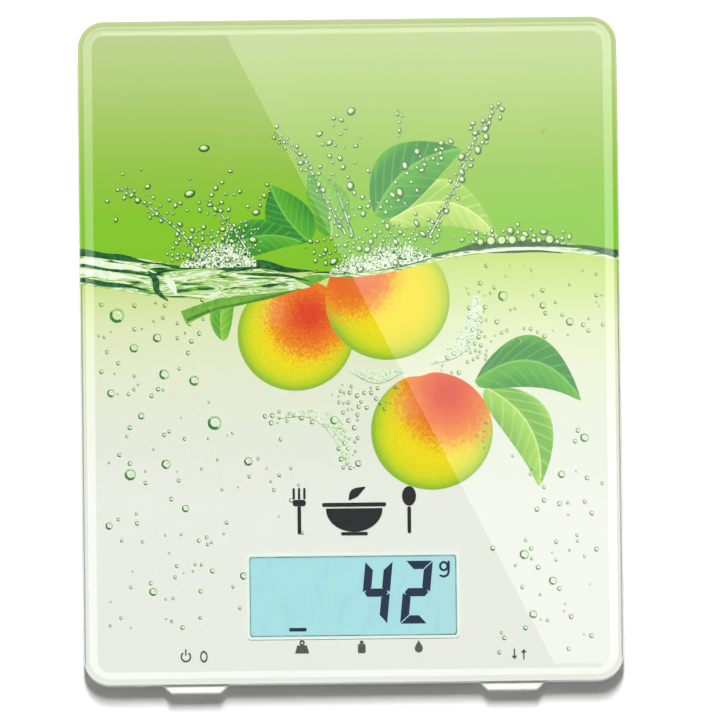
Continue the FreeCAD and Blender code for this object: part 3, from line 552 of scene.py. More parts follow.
SLOT_FINISHES: dict[str, Finish] = {
    # ABS, injection-moulded in a spark-eroded tool: a fine even grain that softens every highlight.
    "white_abs": Grained(
        "abs_moulded_spark_eroded_white", base="#F1F2EE", fleck="#E9EAE5", grain=0.35, roughness=0.48,
        relief=0.02,
    ),
    # The same resin from a polished tool, on the pieces that fingers touch: smoother, with a soft sheen.
    "button_abs": Grained(
        "abs_moulded_satin_white", base="#F7F8F5", fleck="#F1F3EE", grain=0.5, roughness=0.3,
        relief=0.006, spread=0.04,
    ),
    # Acetal, moulded: waxy and close-grained, black on the switch bodies and ivory on their plungers.
    "switch_body": Grained(
        "acetal_moulded_black", base="#1B1B1C", fleck="#232324", grain=0.3, roughness=0.38,
    ),
    "switch_plunger": Grained(
        "acetal_moulded_ivory", base="#E4DCC6", fleck="#DAD1B8", grain=0.4, roughness=0.34,
    ),
    # Mild steel, zinc-plated and blue-passivated: bright, with a cold cast and cloudy patches.
    "zinc_screw": Grained(
        "steel_zinc_plated", base="#C9CDD2", fleck="#AEB4BB", grain=0.6, roughness=0.3, spread=0.12,
        metallic=1.0, relief=0.006,
    ),
    # Spring steel, nickel-plated after grinding: fine straight lines that pull highlights across the plate.
    "sensor_steel": Grained(
        "steel_ground_nickel_plated", base="#CBC7BD", fleck="#B4AFA4", grain=0.12, roughness=0.32,
        spread=0.1, metallic=1.0, relief=0.01, stretch=(14.0, 1.0, 1.0),
    ),
    # Stainless steel, drawn: the coin cell's can, bright, with faint clouds of handling wear.
    "cell_steel": Grained(
        "stainless_steel_drawn", base="#D2D2CF", fleck="#BEBEBB", grain=0.5, roughness=0.22, spread=0.1,
        metallic=1.0, relief=0.004,
    ),
    # Phosphor bronze, rolled and nickel-flashed: a warm yellow spring leaf.
    "contact_metal": Grained(
        "phosphor_bronze_rolled", base="#C9A46A", fleck="#B58E55", grain=0.15, roughness=0.3, spread=0.1,
        metallic=1.0, relief=0.006, stretch=(1.0, 10.0, 1.0),
    ),
    # Silicone rubber, compression-moulded: a dull, slightly dusty grey that grips.
    "grey_rubber": Grained(
        "silicone_rubber_moulded_grey", base="#8C8F90", fleck="#9A9D9D", grain=0.4, roughness=0.78,
        relief=0.03,
    ),
    # Silicone with carbon layers: black and ivory stripes across the strip that joins display and board.
    "silicone_strip": Grained(
        "silicone_carbon_strip", base="#D9D2C2", fleck="#26262A", grain=0.25, roughness=0.6,
        stretch=(1.0, 20.0, 20.0),
    ),
    # Glass-epoxy laminate with green solder mask: glossy, with the tracks showing as relief.
    "circuit_board": BoardLaminate("fr4_laminate_solder_mask"),
    # Epoxy dome over the bare controller chip: black, with a soft cured skin.
    "black_epoxy": Grained(
        "epoxy_potted_black", base="#161617", fleck="#202021", grain=0.8, roughness=0.26, relief=0.02,
    ),
    # Transfer-moulded package and chip parts: matt, with a mineral fleck.
    "chip_component": Grained(
        "chip_package_moulded", base="#2C2B2B", fleck="#8C7455", grain=0.9, roughness=0.5,
    ),
    "light_guide": ACRYLIC_GUIDE,
    # The rear glass of the display lies on the light guide and takes on its milky look.
    "display_glass": ACRYLIC_GUIDE,
    # Foam, cut from sheet: cells that swallow the light. The tape is white polyethylene, and the pad is black
    # polyurethane.
    "adhesive_tape": Grained(
        "polyethylene_foam_white", base="#E8E8E4", fleck="#D8D8D3", grain=0.5, roughness=0.9,
        relief=0.08,
    ),
    "foam": Grained(
        "polyurethane_foam_black", base="#2B2B2C", fleck="#3A3A3B", grain=0.4, roughness=0.92,
        relief=0.08,
    ),
    # PVC, extruded over stranded wire: smooth, with a soft gloss, faintly uneven over the strands.
    "red_wire": Grained(
        "pvc_extruded_red", base="#B3261E", fleck="#C2352B", grain=0.6, roughness=0.4, relief=0.01,
    ),
    "white_wire": Grained(
        "pvc_extruded_white", base="#E9E8E2", fleck="#DDDCD5", grain=0.6, roughness=0.4, relief=0.01,
    ),
    "black_wire": Grained(
        "pvc_extruded_black", base="#1D1D1F", fleck="#29292B", grain=0.6, roughness=0.4, relief=0.01,
    ),
    # Silicone conformal coat over the strain gauge: milky, rounded, slightly glossy.
    "gauge_coat": Grained(
        "silicone_coat_white", base="#E6E7E2", fleck="#D6D8D2", grain=0.7, roughness=0.35, relief=0.03,
    ),
}


# ------------------------------------------------------------------------------------------- shared makers
def new_piece(name: str, mesh: Shape, finish: Finish, smooth: bool = False) -> Piece:
    """Turns a bmesh into a named piece with a finish.

    Args:
        name: The piece's name.
        mesh: The shape, which is freed.
        finish: What it is dressed in.
        smooth: Whether its faces are shaded smooth.

    Returns:
        The new object, linked to the scene.
    """
    data = bpy.data.meshes.new(name)
    mesh.to_mesh(data)
    mesh.free()
    for face in data.polygons:
        face.use_smooth = smooth
    data.materials.append(finish.material())
    piece = bpy.data.objects.new(name, data)
    bpy.context.scene.collection.objects.link(piece)
    return piece


def attach(piece: Piece, body: str = "scale_body") -> Piece:
    """Puts a piece on a body and reports it."""
    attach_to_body(piece, body)
    LOG.info("%s rides on %s", piece.name, body)
    return piece


def dress(node: Piece, finish: Finish) -> None:
    """Gives a node of the frame a finish in place of its plain material."""
    node.data.materials.clear()
    node.data.materials.append(finish.material())
    LOG.info("%s is dressed in %s", node.name, finish.name)


# ------------------------------------------------------------------------------------------- plan outlines
def turned(outline: Outline, degrees: float) -> Outline:
    """Returns an outline turned about the origin, anticlockwise."""
    cos, sin = math.cos(math.radians(degrees)), math.sin(math.radians(degrees))
    return [(x * cos - y * sin, x * sin + y * cos) for x, y in outline]


def shifted(outline: Outline, x: float, y: float) -> Outline:
    """Returns an outline moved by x and y."""
    return [(px + x, py + y) for px, py in outline]


def ellipse(rx: float, ry: float, steps: int = 48) -> Outline:
    """Returns an ellipse about the origin."""
    angles = (2 * math.pi * i / steps for i in range(steps))
    return [(rx * math.cos(a), ry * math.sin(a)) for a in angles]


def rounded_rectangle(half_x: float, half_y: float, radius: float, steps: int = 10) -> Outline:
    """Returns a rectangle with round corners about the origin, anticlockwise.

    Args:
        half_x: Half of its width.
        half_y: Half of its depth.
        radius: Corner radius.
        steps: Steps in each corner.
    """
    centres = [(half_x - radius, half_y - radius), (radius - half_x, half_y - radius),
               (radius - half_x, radius - half_y), (half_x - radius, radius - half_y)]
    outline = []
    for corner, (x, y) in enumerate(centres):
        for i in range(steps + 1):
            angle = math.pi / 2 * (corner + i / steps)
            outline.append((x + radius * math.cos(angle), y + radius * math.sin(angle)))
    return outline


def ribbon(path: Sequence[Point], widths: Sequence[float], steps: int = 16) -> Outline:
    """Returns a band of changing width along a smooth line.

    Args:
        path: Points that the line passes through.
        widths: Width at each point.
        steps: Steps between two points.
    """
    line = spline(path, steps)
    size = spline([(w, 0.0) for w in widths], steps)
    left, right = [], []
    for i, (x, y) in enumerate(line):
        ahead, behind = line[min(i + 1, len(line) - 1)], line[max(i - 1, 0)]
        dx, dy = ahead[0] - behind[0], ahead[1] - behind[1]
        length = math.hypot(dx, dy) or 1.0
        half = max(size[i][0], 0.02) / 2
        left.append((x - dy / length * half, y + dx / length * half))
        right.append((x + dy / length * half, y - dx / length * half))
    return left + right[::-1]


def spline(points: Sequence[Point], steps: int) -> Outline:
    """Returns a Catmull-Rom line through the points, ends included."""
    padded = [points[0], *points, points[-1]]
    line = []
    for i in range(1, len(padded) - 2):
        a, b, c, d = padded[i - 1:i + 3]
        for k in range(steps):
            t = k / steps
            line.append(tuple(
                0.5 * (2 * b[n] + (c[n] - a[n]) * t + (2 * a[n] - 5 * b[n] + 4 * c[n] - d[n]) * t ** 2
                       + (3 * b[n] - a[n] - 3 * c[n] + d[n]) * t ** 3)
                for n in (0, 1)
            ))
    line.append(tuple(points[-1]))
    return line


def slab(mesh: Shape, outline: Outline, low: float, high: float) -> None:
    """Adds a closed flat slab with that outline, in millimetres, to a mesh in metres."""
    floor = [mesh.verts.new((x * MM, y * MM, low * MM)) for x, y in outline]
    roof = [mesh.verts.new((x * MM, y * MM, high * MM)) for x, y in outline]
    faces = [mesh.faces.new(floor[::-1]), mesh.faces.new(roof)]
    for i in range(len(outline)):
        k = (i + 1) % len(outline)
        mesh.faces.new((floor[i], floor[k], roof[k], roof[i]))
    for face in faces[:2]:
        face.normal_update()
    bmesh.ops.triangulate(mesh, faces=faces)


def band(mesh: Shape, outer: Outline, inner: Outline, low: float, high: float) -> None:
    """Adds a closed flat ring between two outlines that have as many points as each other."""
    rings = [[mesh.verts.new((x * MM, y * MM, z * MM)) for x, y in line]
             for line, z in ((outer, low), (outer, high), (inner, high), (inner, low))]
    for i in range(len(outer)):
        k = (i + 1) % len(outer)
        for r in range(4):
            first, second = rings[r], rings[(r + 1) % 4]
            mesh.faces.new((first[i], first[k], second[k], second[i]))


@dataclass
class Plan:
    """The frame's places that the pieces are built on, read from its nodes.

    Attributes:
        x: x of the glass's middle in metres.
        y: y of the glass's middle in metres.
        half_x: Half of the glass's width in millimetres.
        half_y: Half of the glass's depth in millimetres.
        ink_top: Height of the printed layer's top in millimetres.
        glass_top: Height of the glass's top in millimetres.
        display_top: Height of the display's top in millimetres.
    """

    x: float
    y: float
    half_x: float
    half_y: float
    ink_top: float
    glass_top: float
    display_top: float

    @classmethod
    def from_frame(cls) -> "Plan":
        """Reads the places from the glass, the printed layer and the display."""
        low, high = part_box("glass_platform")
        middle = (low + high) / 2
        return cls(
            middle.x, middle.y, (high.x - low.x) / 2 / MM, (high.y - low.y) / 2 / MM,
            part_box("printed_layer")[1].z / MM, high.z / MM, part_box("lcd_front_glass")[1].z / MM,
        )

    def settle(self, piece: Piece, slot: str, x: float = 0.0, y: float = 0.0, turn: float = 0.0) -> None:
        """Moves a piece that was made about its own origin to its place on the glass, and attaches it."""
        piece.location = (self.x + x * MM, self.y + y * MM, 0.0)
        piece.rotation_euler = (0.0, 0.0, math.radians(turn))
        attach(piece)


@dataclass
class GlassPlate:
    """The platform: a flat top that rolls off gently to a polished round edge.

    Attributes:
        corner: Corner radius in plan.
        flat_inset: From the outline to the flat top.
        roll_inset: From the outline to where the steep part of the edge ends.
        roll_drop: How far the gentle part falls.
        edge_drop: How far the steep part falls.
        foot_round: Radius of the lower edge.
        lap: How far the plate reaches into the printed layer.
        steps: Steps in each corner.
        foot_steps: Steps in the lower edge.
        roll_steps: Steps in each part of the upper edge.
    """

    corner: float = 8.0
    flat_inset: float = 4.8
    roll_inset: float = 2.2
    roll_drop: float = 0.3
    edge_drop: float = 1.9
    foot_round: float = 0.5
    lap: float = 0.05
    steps: int = 14
    foot_steps: int = 4
    roll_steps: int = 8

    def profile(self, bottom: float, top: float) -> list[tuple[float, float]]:
        """Returns inset and height from the bottom face round the edge to the flat top."""
        rows = [(self.foot_round * (1 - math.sin(a)), bottom + self.foot_round * (1 - math.cos(a)))
                for a in (math.pi / 2 * i / self.foot_steps for i in range(self.foot_steps + 1))]
        shoulder = top - self.roll_drop
        for i in range(self.roll_steps + 1):
            a = math.pi / 2 * i / self.roll_steps
            rows.append((self.roll_inset * (1 - math.cos(a)), shoulder - self.edge_drop * (1 - math.sin(a))))
        for i in range(1, self.roll_steps + 1):
            t = i / self.roll_steps
            inset = self.roll_inset + (self.flat_inset - self.roll_inset) * t
            rows.append((inset, shoulder + self.roll_drop * (1 - (1 - t) ** 2)))
        return rows

    def build(self, plan: Plan) -> None:
        """Builds the plate by lofting round-cornered outlines, and puts it in the glass node's place."""
        mesh = bmesh.new()
        loops = []
        for inset, height in self.profile(plan.ink_top - self.lap, plan.glass_top):
            line = rounded_rectangle(
                plan.half_x - inset, plan.half_y - inset, self.corner - inset, self.steps
            )
            loops.append([mesh.verts.new((x * MM, y * MM, height * MM)) for x, y in line])
        for below, above in zip(loops, loops[1:]):
            for i in range(len(below)):
                k = (i + 1) % len(below)
                mesh.faces.new((below[i], below[k], above[k], above[i]))
        mesh.faces.new(loops[0][::-1])
        mesh.faces.new(loops[-1])
        piece = new_piece("glass_plate", mesh, TEMPERED_GLASS, smooth=True)
        for face in piece.data.polygons:
            if len(face.vertices) > 4:
                face.use_smooth = False
        plan.settle(piece, "clear_glass")
        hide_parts("glass_platform")


class Leaf(Enum):
    """Leaf colours: lit half, shaded half, veins."""

    DEEP = ("#55AE28", "#2C8A2C", "#7DBE56")
    FRESH = ("#86C23A", "#55A72C", "#ABD56C")
    SOFT = ("#9CCE48", "#70B238", "#C2E084")
    PALE = ("#C0DB6A", "#98C848", "#D6E796")


@dataclass
class Print:
    """The picture and the signs on the back of the glass: thin films of ink, stacked above the ground.

    Attributes:
        film: Thickness of one film.
        step: From one layer to the next.
        margin: From the edge of the glass to the print.
        reach: How far drops and bubbles go from the middle line.
        window: Half width and rear edge of the place that stays free round the display.
        round_steps: Steps in each ring.
        drop_steps: Steps in each drop.
        seed: Start of the random draws.
        layers: How many layers are printed so far.
        waterline: Points of the water's surface.
        jets: Paths of the strings of drops that fly furthest.
        plan: Where the glass is, known once the print is built.
    """

    film: float = 0.006
    step: float = 0.008
    margin: float = 0.5
    reach: float = 77.0
    window: Point = (34.0, -59.0)
    round_steps: int = 28
    drop_steps: int = 14
    seed: int = 7
    layers: int = 0
    waterline: tuple[Point, ...] = (
        (-81.0, 30.5), (-68.0, 28.5), (-54.0, 26.0), (-40.0, 25.5), (-26.0, 26.0), (-12.0, 23.8), (2.0, 23.4),
        (16.0, 25.6), (30.0, 29.4), (42.0, 31.2), (56.0, 31.6), (70.0, 30.4), (81.0, 28.0),
    )
    jets: tuple[tuple[Point, ...], ...] = (
        ((-67, 49.5), (-59, 43), (-52, 37.5), (-46, 31)), ((-43, 46), (-38, 41), (-34, 36), (-31, 31)),
        ((-22, 66), (-15.5, 60), (-11, 54), (-6, 44), (-1, 35)),
        ((45.5, 73.5), (40, 66), (35, 56), (30, 45), (24, 34)), ((-5, 52), (-2, 44), (1, 35)),
    )
    plan: Plan | None = None

    def next_layer(self) -> float:
        """Returns the height of the next free layer."""
        self.layers += 1
        return self.plan.ink_top + self.step * self.layers

    def sheet(self, name: str, outlines: Sequence[Outline], finish: Finish, *spot: float) -> None:
        """Prints one layer of outlines that don't overlap.

        Args:
            name: The piece's name.
            outlines: Outlines about the layer's own origin.
            finish: The ink.
            spot: x and y of the origin, and its turn in degrees, each 0 if it is left out.
        """
        mesh, low = bmesh.new(), self.next_layer()
        for outline in outlines:
            slab(mesh, outline, low, low + self.film)
        self.plan.settle(new_piece(name, mesh, finish), "glass_ink", *spot)

    def rings(self, name: str, circles: Sequence[Circle], share: float, finish: Finish) -> None:
        """Prints one layer of circles, each with a wall of that share of its radius."""
        mesh, low = bmesh.new(), self.next_layer()
        for x, y, radius in circles:
            radii = (radius, radius * (1 - share))
            outer, inner = (shifted(ellipse(r, r, self.round_steps), x, y) for r in radii)
            band(mesh, outer, inner, low, low + self.film)
        self.plan.settle(new_piece(name, mesh, finish), "glass_ink")

    def ground(self, node: Piece) -> None:
        """Dresses the printed layer in the pale ground under the water, and prints the green sky over it."""
        dress(node, GroundInk(
            "ceramic_ink_ground_pale", middle=self.plan.y,
            stops=((-100.0, "#E9EAE3"), (-46.0, "#E9EAE3"), (-24.0, "#E4E7D9"), (-6.0, "#E3E7CE"),
                   (8.0, "#DDE5B9"), (18.0, "#CFDF93"), (28.0, "#C2D972"), (34.0, "#B8D462")),
        ))
        half_x, half_y = self.plan.half_x - self.margin, self.plan.half_y - self.margin
        corner = GlassPlate.corner - self.margin
        top = [p for p in rounded_rectangle(half_x, half_y, corner) if p[1] > half_y - corner - 0.01]
        line = [p for p in spline(self.waterline, 12) if abs(p[0]) < half_x]
        line = [(-half_x, line[0][1]), *line, (half_x, line[-1][1])]
        sky = GroundInk(
            "ceramic_ink_sky_green", middle=self.plan.y,
            stops=((20.0, "#7FC01F"), (40.0, "#82C122"), (52.0, "#90BF3D"), (66.0, "#A1C45A"),
                   (82.0, "#B2CB7A"), (97.0, "#BECD91")),
        )
        self.sheet("ink_sky", [line + top], sky)

    def surface(self, x: float) -> float:
        """Returns the height of the water at x."""
        for (x0, y0), (x1, y1) in zip(self.waterline, self.waterline[1:]):
            if x0 <= x <= x1:
                return y0 + (y1 - y0) * (x - x0) / (x1 - x0)
        return self.waterline[-1][1]

    def crest(
        self, x0: float, x1: float, offset: float, widths: Sequence[float], sway: float = 0.0
    ) -> Outline:
        """Returns a band that follows the water between two places.

        Args:
            x0: Where it starts.
            x1: Where it ends.
            offset: How far it lies over the water's line.
            widths: Its width at even steps along it.
            sway: How far it swings to either side.
        """
        count = len(widths)
        path = []
        for i in range(count):
            x = x0 + (x1 - x0) * i / (count - 1)
            path.append((x, self.surface(x) + offset + sway * (-1) ** i))
        return ribbon(path, widths)

    def water(self) -> None:
        """Prints the surface of the water: a thick folded body at the left, with dark and white bands."""
        body = [
            self.crest(-79.8, -12, -4.6, [9.8, 10.2, 10.6, 9.6, 9.8, 8.4, 6.0, 0.3]),
            self.crest(-13, 79.8, -0.6, [0.3, 1.6, 1.8, 2.2, 2.8, 2.8, 2.6, 2.4]),
        ]
        light = [
            self.crest(-79.8, -58, -2.5, [1.4, 1.9, 1.3, 0.2], 0.2),
            self.crest(-79.8, -60, -5.6, [1.7, 2.2, 1.0, 0.2], 0.2),
            self.crest(30, 72, -1.5, [0.2, 0.7, 0.9, 0.8, 0.2], 0.1),
            ribbon([(-55.6, 23.4), (-53.6, 20.6), (-52.2, 17.6)], [0.4, 2.2, 0.6]),
        ]
        dark = [
            self.crest(-79.8, -56, 0.1, [2.2, 1.7, 1.9, 0.7, 0.3], 0.1),
            self.crest(-79.8, -58, -3.9, [1.0, 0.7, 0.9, 0.2], 0.15),
            self.crest(-79.8, -60, -8.3, [1.3, 1.5, 1.0, 0.2], 0.2),
            self.crest(-58, -11, 0.0, [0.3, 1.1, 0.9, 2.3, 2.6, 1.6, 0.2], 0.35),
            self.crest(-34, -12, -2.5, [0.2, 0.9, 0.8, 0.2], 0.3),
            self.crest(-11, 24, 0.0, [0.2, 0.9, 0.8, 1.1, 1.2]),
            self.crest(23.5, 79.8, 0.1, [1.2, 0.9, 2.2, 1.3, 2.3, 0.9, 1.2, 2.4], 0.12),
            self.crest(42, 64, -2.2, [0.2, 0.6, 0.6, 0.2]),
            ribbon([(-60.5, 24.6), (-58.4, 22.0), (-57.8, 18.6), (-54.6, 15.6)], [0.5, 2.0, 1.7, 0.3]),
        ]
        for name, bands, finish in (
            ("ink_water_body", body, INK_FOLDS),
            ("ink_water_light", light, INK_WATER_LIGHT),
            ("ink_water_dark", dark, INK_WATER_DARK),
        ):
            for i, outline in enumerate(bands):
                self.sheet(f"{name}_{i + 1}", [outline], finish)

    def crown(
        self, rng: random.Random, x0: float, x1: float, height: float, lean: float, spikes: int
    ) -> Outline:
        """Returns the ragged outline of spray that stands on the water.

        Args:
            rng: Source of the random draws.
            x0: Where it starts.
            x1: Where it ends.
            height: Height of its highest spike.
            lean: How far the spikes lean, as a share of their height.
            spikes: How many spikes it has.
        """
        feet = [x0 + (x1 - x0) * i / 8 for i in range(9)]
        line = [(x, self.surface(x) - 0.3) for x in feet]
        top = []
        # Each spike has a low point and, half a step further, a tip.
        for i in range(spikes):
            for share, low, high in ((0.0, 0.25, 0.5), (0.5, 0.55, 1.0)):
                t = (i + share) / spikes
                rise = height * math.sin(math.pi * min(max(t, 0.01), 0.99)) ** 0.7 * rng.uniform(low, high)
                x = x0 + (x1 - x0) * t
                top.append((x + lean * rise, self.surface(x) + rise))
        return line + top[::-1]

    def leaf(
        self, name: str, colours: Leaf, x: float, y: float, length: float, width: float, turn: float,
        bend: float,
    ) -> None:
        """Prints one pointed leaf.

        Args:
            name: The piece's name.
            colours: Which leaf colours.
            x: x of its middle.
            y: y of its middle.
            length: Length of the leaf.
            width: Width of the leaf.
            turn: Which way it points, in degrees.
            bend: Rise of its middle, as a share of its length.
        """
        steps, belly, fullness, upper, lower = 24, 0.76, 0.8, [], []
        for i in range(steps + 1):
            t = i / steps
            spine = bend * length * (1 - (2 * t - 1) ** 2) * 0.5
            half = width / 2 * math.sin(math.pi * t ** belly) ** fullness
            across = (t - 0.5) * length
            upper.append((across, spine + half))
            lower.append((across, spine - half))
        outline = lower + upper[-2:0:-1]
        lit, shaded, vein = colours.value
        finish = LeafInk(f"ceramic_ink_{name}", lit, shaded, vein, length, width / 2, bend)
        self.sheet(name, [outline], finish, x, y, turn)

    def leaves(self) -> None:
        """Prints the leaves above the water, one on the stalk, and two beside the lowest fruit."""
        for name, colours, *sizes in (
            ("pale", Leaf.PALE, 28.5, 36.0, 33.0, 14.5, -10.0, 0.5),
            ("large", Leaf.DEEP, 21.0, 50.5, 33.0, 17.5, 37.0, 0.3),
            ("upper_left", Leaf.FRESH, -8.5, 44.5, 21.0, 13.0, 108.0, -0.2),
            ("small_left", Leaf.DEEP, -17.6, 41.5, 20.5, 14.0, 124.0, 0.15),
            ("on_water", Leaf.DEEP, -26.5, 31.0, 25.0, 11.0, 8.0, 0.3),
            ("hanging", Leaf.FRESH, -36.0, 12.5, 19.0, 7.0, 76.0, 0.25),
            ("below_fruit", Leaf.SOFT, 48.3, -26.7, 34.0, 14.5, -62.0, 0.35),
            ("beside_fruit", Leaf.DEEP, 53.2, -12.8, 32.5, 16.0, -11.0, 0.55),
        ):
            self.leaf(f"ink_leaf_{name}", colours, *sizes)

    def fruit(self, name: str, x: float, y: float, finish: FruitInk, under_water: bool = False) -> None:
        """Prints one round fruit with a cleft at its stalk.

        Args:
            name: The piece's name.
            x: x of its middle.
            y: y of its middle.
            finish: Its ink, which knows its radius.
            under_water: Whether it is cut off at the water's line.
        """
        steps, squash, dip, outline = 96, 0.015, 0.9, []
        cleft_depth, cleft_angle, cleft_width = 0.05, math.pi * 0.56, 0.16
        for i in range(steps):
            a = 2 * math.pi * i / steps
            cleft = cleft_depth * math.exp(-((a - cleft_angle) / cleft_width) ** 2)
            reach = finish.radius * (1 - cleft + squash * math.cos(2 * a))
            px, py = reach * math.cos(a), reach * math.sin(a)
            outline.append((px, min(py, self.surface(x + px) - y - dip) if under_water else py))
        self.sheet(name, [outline], finish, x, y)

    def fruits(self) -> None:
        """Prints the three fruits that sink through the water, and the stalk that holds two of them."""
        self.fruit("ink_fruit_left", -16.4, 5.0,
                   FruitInk("ceramic_ink_fruit_left", 17.2, (0.24, 0.34), 0.95))
        self.fruit("ink_fruit_right", 11.3, 15.2,
                   FruitInk("ceramic_ink_fruit_right", 18.4, (-0.62, 0.52), 1.0, "#E4661A"), under_water=True)
        self.fruit("ink_fruit_low", 24.2, -24.5,
                   FruitInk("ceramic_ink_fruit_low", 18.0, (0.28, 0.62), 1.1))
        stem = ribbon([(-50, 10.4), (-42, 13.6), (-33, 15.4), (-24, 17.6), (-14, 20.6), (-5, 23.4)],
                      [4.2, 3.4, 2.8, 3.0, 3.3, 1.2])
        self.sheet("ink_stem", [stem], INK_STEM)
        shade = ribbon([(-49, 9.6), (-41, 12.8), (-32, 14.6), (-23, 16.6), (-13, 19.5)],
                       [0.9, 0.7, 0.6, 0.9, 0.2])
        self.sheet("ink_stem_shade", [shade], INK_STEM_SHADE)

    def splash(self) -> None:
        """Prints the spray on the water, and the drops that fly off it in strings along curved paths."""
        rng = random.Random(self.seed)
        crowns = [(-51, -28, 13.0, 0.35, 19), (-6, 25, 10.5, 0.25, 24), (-42, -30, 8.0, -0.5, 9)]
        for i, (x0, x1, height, lean, spikes) in enumerate(crowns):
            spray = self.crown(rng, x0, x1, height, lean, spikes)
            self.sheet(f"ink_spray_{i + 1}", [spray], INK_SPRAY)
        for name, thick, finish in (
            ("ink_thread_shade", 0.95, INK_WATER_DARK),
            ("ink_thread_light", 0.5, INK_SPRAY),
        ):
            for i, path in enumerate(self.jets):
                widths = [thick * (0.25 + 0.75 * (k / (len(path) - 1))) for k in range(len(path))]
                self.sheet(f"{name}_{i + 1}", [ribbon(path, widths)], finish)
        far_left, left, middle, right = self.jets[:4]
        # Path, how many drops are tried, how far they stray, and their size.
        strings = (
            (far_left, 90, 0.9, 1.15),
            ([(-70, 48), (-56, 43), (-44, 45), (-34, 46)], 40, 3.4, 1.2),
            (left, 90, 1.0, 1.0),
            ([(-52, 30), (-44, 33), (-36, 35), (-28, 33)], 240, 2.4, 0.95),
            ([(-30, 42), (-27, 46), (-25, 50)], 16, 2.0, 1.3),
            (middle, 120, 0.9, 1.05),
            ([(15, 73), (15, 68), (14, 64)], 9, 0.6, 1.1),
            ([(0, 70), (-4, 60), (2, 50), (3, 40)], 46, 2.6, 1.3),
            (right, 240, 1.0, 1.1),
            ([(10, 40), (14, 47), (22, 55), (30, 60)], 60, 2.0, 1.1),
            ([(-8, 28), (4, 32), (14, 34), (26, 33)], 240, 2.6, 0.95),
            ([(-70, 40), (-50, 52), (-10, 62), (50, 62)], 18, 6.0, 1.1),
            ([(34, 33), (46, 34.2), (58, 34.2), (66, 33)], 110, 0.9, 1.25),
        )
        # Drops are looked up by square cells, to keep each one clear of its neighbours.
        drops, cells, cell_size, apart = [], {}, 2, 1.25
        for path, count, spread, size in strings:
            line = spline(path, 20)
            for _ in range(count):
                x, y = line[int(rng.random() * (len(line) - 1))]
                x, y = x + rng.gauss(0, spread), y + rng.gauss(0, spread)
                radius = size * rng.uniform(0.24, 0.56) * rng.choice((1.0, 1.0, 1.8))
                stretch, turn = rng.uniform(1.0, 1.7), rng.uniform(0, 180)
                column, row = int(x // cell_size), int(y // cell_size)
                around = [(column + i, row + j) for i in (-1, 0, 1) for j in (-1, 0, 1)]
                near = [drop for cell in around for drop in cells.get(cell, [])]
                crowded = any(math.hypot(x - a, y - b) < apart * (radius + c) for a, b, c in near)
                if crowded or abs(x) > self.reach or y < self.surface(x) + 0.4:
                    continue
                cells.setdefault((column, row), []).append((x, y, radius))
                drops.append((x, y, radius, stretch, turn))
        for name, grow, move, finish in (
            ("ink_drop_shade", 1.0, 0.0, INK_WATER_DARK),
            ("ink_drop_middle", 0.74, 0.1, INK_WATER_MID),
            ("ink_drop_light", 0.5, 0.22, INK_WATER_LIGHT),
        ):
            shapes = [shifted(turned(ellipse(r * long * grow, r * grow, self.drop_steps), turn),
                              x - r * move, y + r * move) for x, y, r, long, turn in drops]
            self.sheet(name, shapes, finish)

    def bubbles(self) -> None:
        """Prints the bubbles under the water: pale rings, each with a dark crescent on its lower left."""
        rng = random.Random(self.seed + 1)
        large = [
            (-70, 11.4, 2.2), (-41, -21.3, 2.1), (-66.5, -36.6, 1.7), (-55.7, -33.6, 1.4),
            (-58, 4.5, 1.3), (-65, 1.5, 1.3), (-72, -12, 1.2), (-63, -19, 1.0), (-31, -33, 1.3),
            (-50, -47, 1.1), (-47, -8.5, 1.5), (-56, -6.5, 1.5), (-5, -21, 1.3), (2, -34, 1.0),
            (46, 16, 1.5), (66, 8, 1.2), (58, 13, 1.0), (70, -27, 1.3), (63, -38, 1.1), (-73, -52, 1.1),
            (51.5, -62, 1.4), (60, -70, 1.2), (-32.8, -67.5, 1.1), (54, -80, 1.2), (-60, -72, 1.2),
        ]
        small = []
        # Middle, half width, half depth, and how many bubbles are tried.
        places = ((58, 14, 18, 12, 44), (-60, -4, 18, 20, 50), (-45, -40, 30, 16, 40), (62, -46, 14, 22, 30),
                  (-54, -70, 20, 16, 34), (58, -74, 16, 18, 26), (-1, -24, 3, 12, 90), (38, 8, 3, 12, 80),
                  (4, -14, 10, 4, 40), (31, -4, 4, 4, 24), (39, -24, 2, 7, 44), (-18, -20, 8, 2, 24))
        for x0, y0, dx, dy, count in places:
            for _ in range(count):
                x, y, radius = x0 + rng.uniform(-dx, dx), y0 + rng.uniform(-dy, dy), rng.uniform(0.25, 0.75)
                near = any(math.hypot(x - a, y - b) < 1.3 * (radius + c) for a, b, c in large + small)
                in_window = abs(x) < self.window[0] and y < self.window[1]
                if not near and not in_window and abs(x) < self.reach:
                    small.append((x, y, radius))
        swirl = [ribbon([(38, 16), (37, 8), (32, 0), (24, -4)], [1.5, 5.0, 4.0, 1.0]),
                 ribbon([(-22, -20), (-12, -19), (-4, -24), (-1, -34)], [0.6, 2.4, 5.0, 1.2]),
                 ribbon([(0, -6), (8, -8), (16, -6)], [1.0, 4.0, 1.0])]
        self.sheet("ink_swirl", swirl, INK_SWIRL)
        self.rings("ink_bubble_ring", [*large, *small], 0.26, INK_BUBBLE)
        crescents, steps = [], 14
        for x, y, radius in [*large, *small]:
            lean = rng.uniform(-25, 25)
            crescent = []
            for start, sweep, size, off in (
                (140, 160, radius, 0.0), (292, -144, radius * 0.66, radius * 0.04),
            ):
                angles = (math.radians(start + sweep * i / steps + lean) for i in range(steps + 1))
                crescent += [(size * math.cos(a) + off, size * math.sin(a) + off) for a in angles]
            crescents.append(shifted(crescent, x, y))
        self.sheet("ink_bubble_crescent", crescents, INK_BUBBLE_DARK)
        glints = [shifted(ellipse(r * 0.2, r * 0.2, 12), x + r * 0.25, y + r * 0.25) for x, y, r in large]
        self.sheet("ink_bubble_glint", glints, INK_WATER_LIGHT)

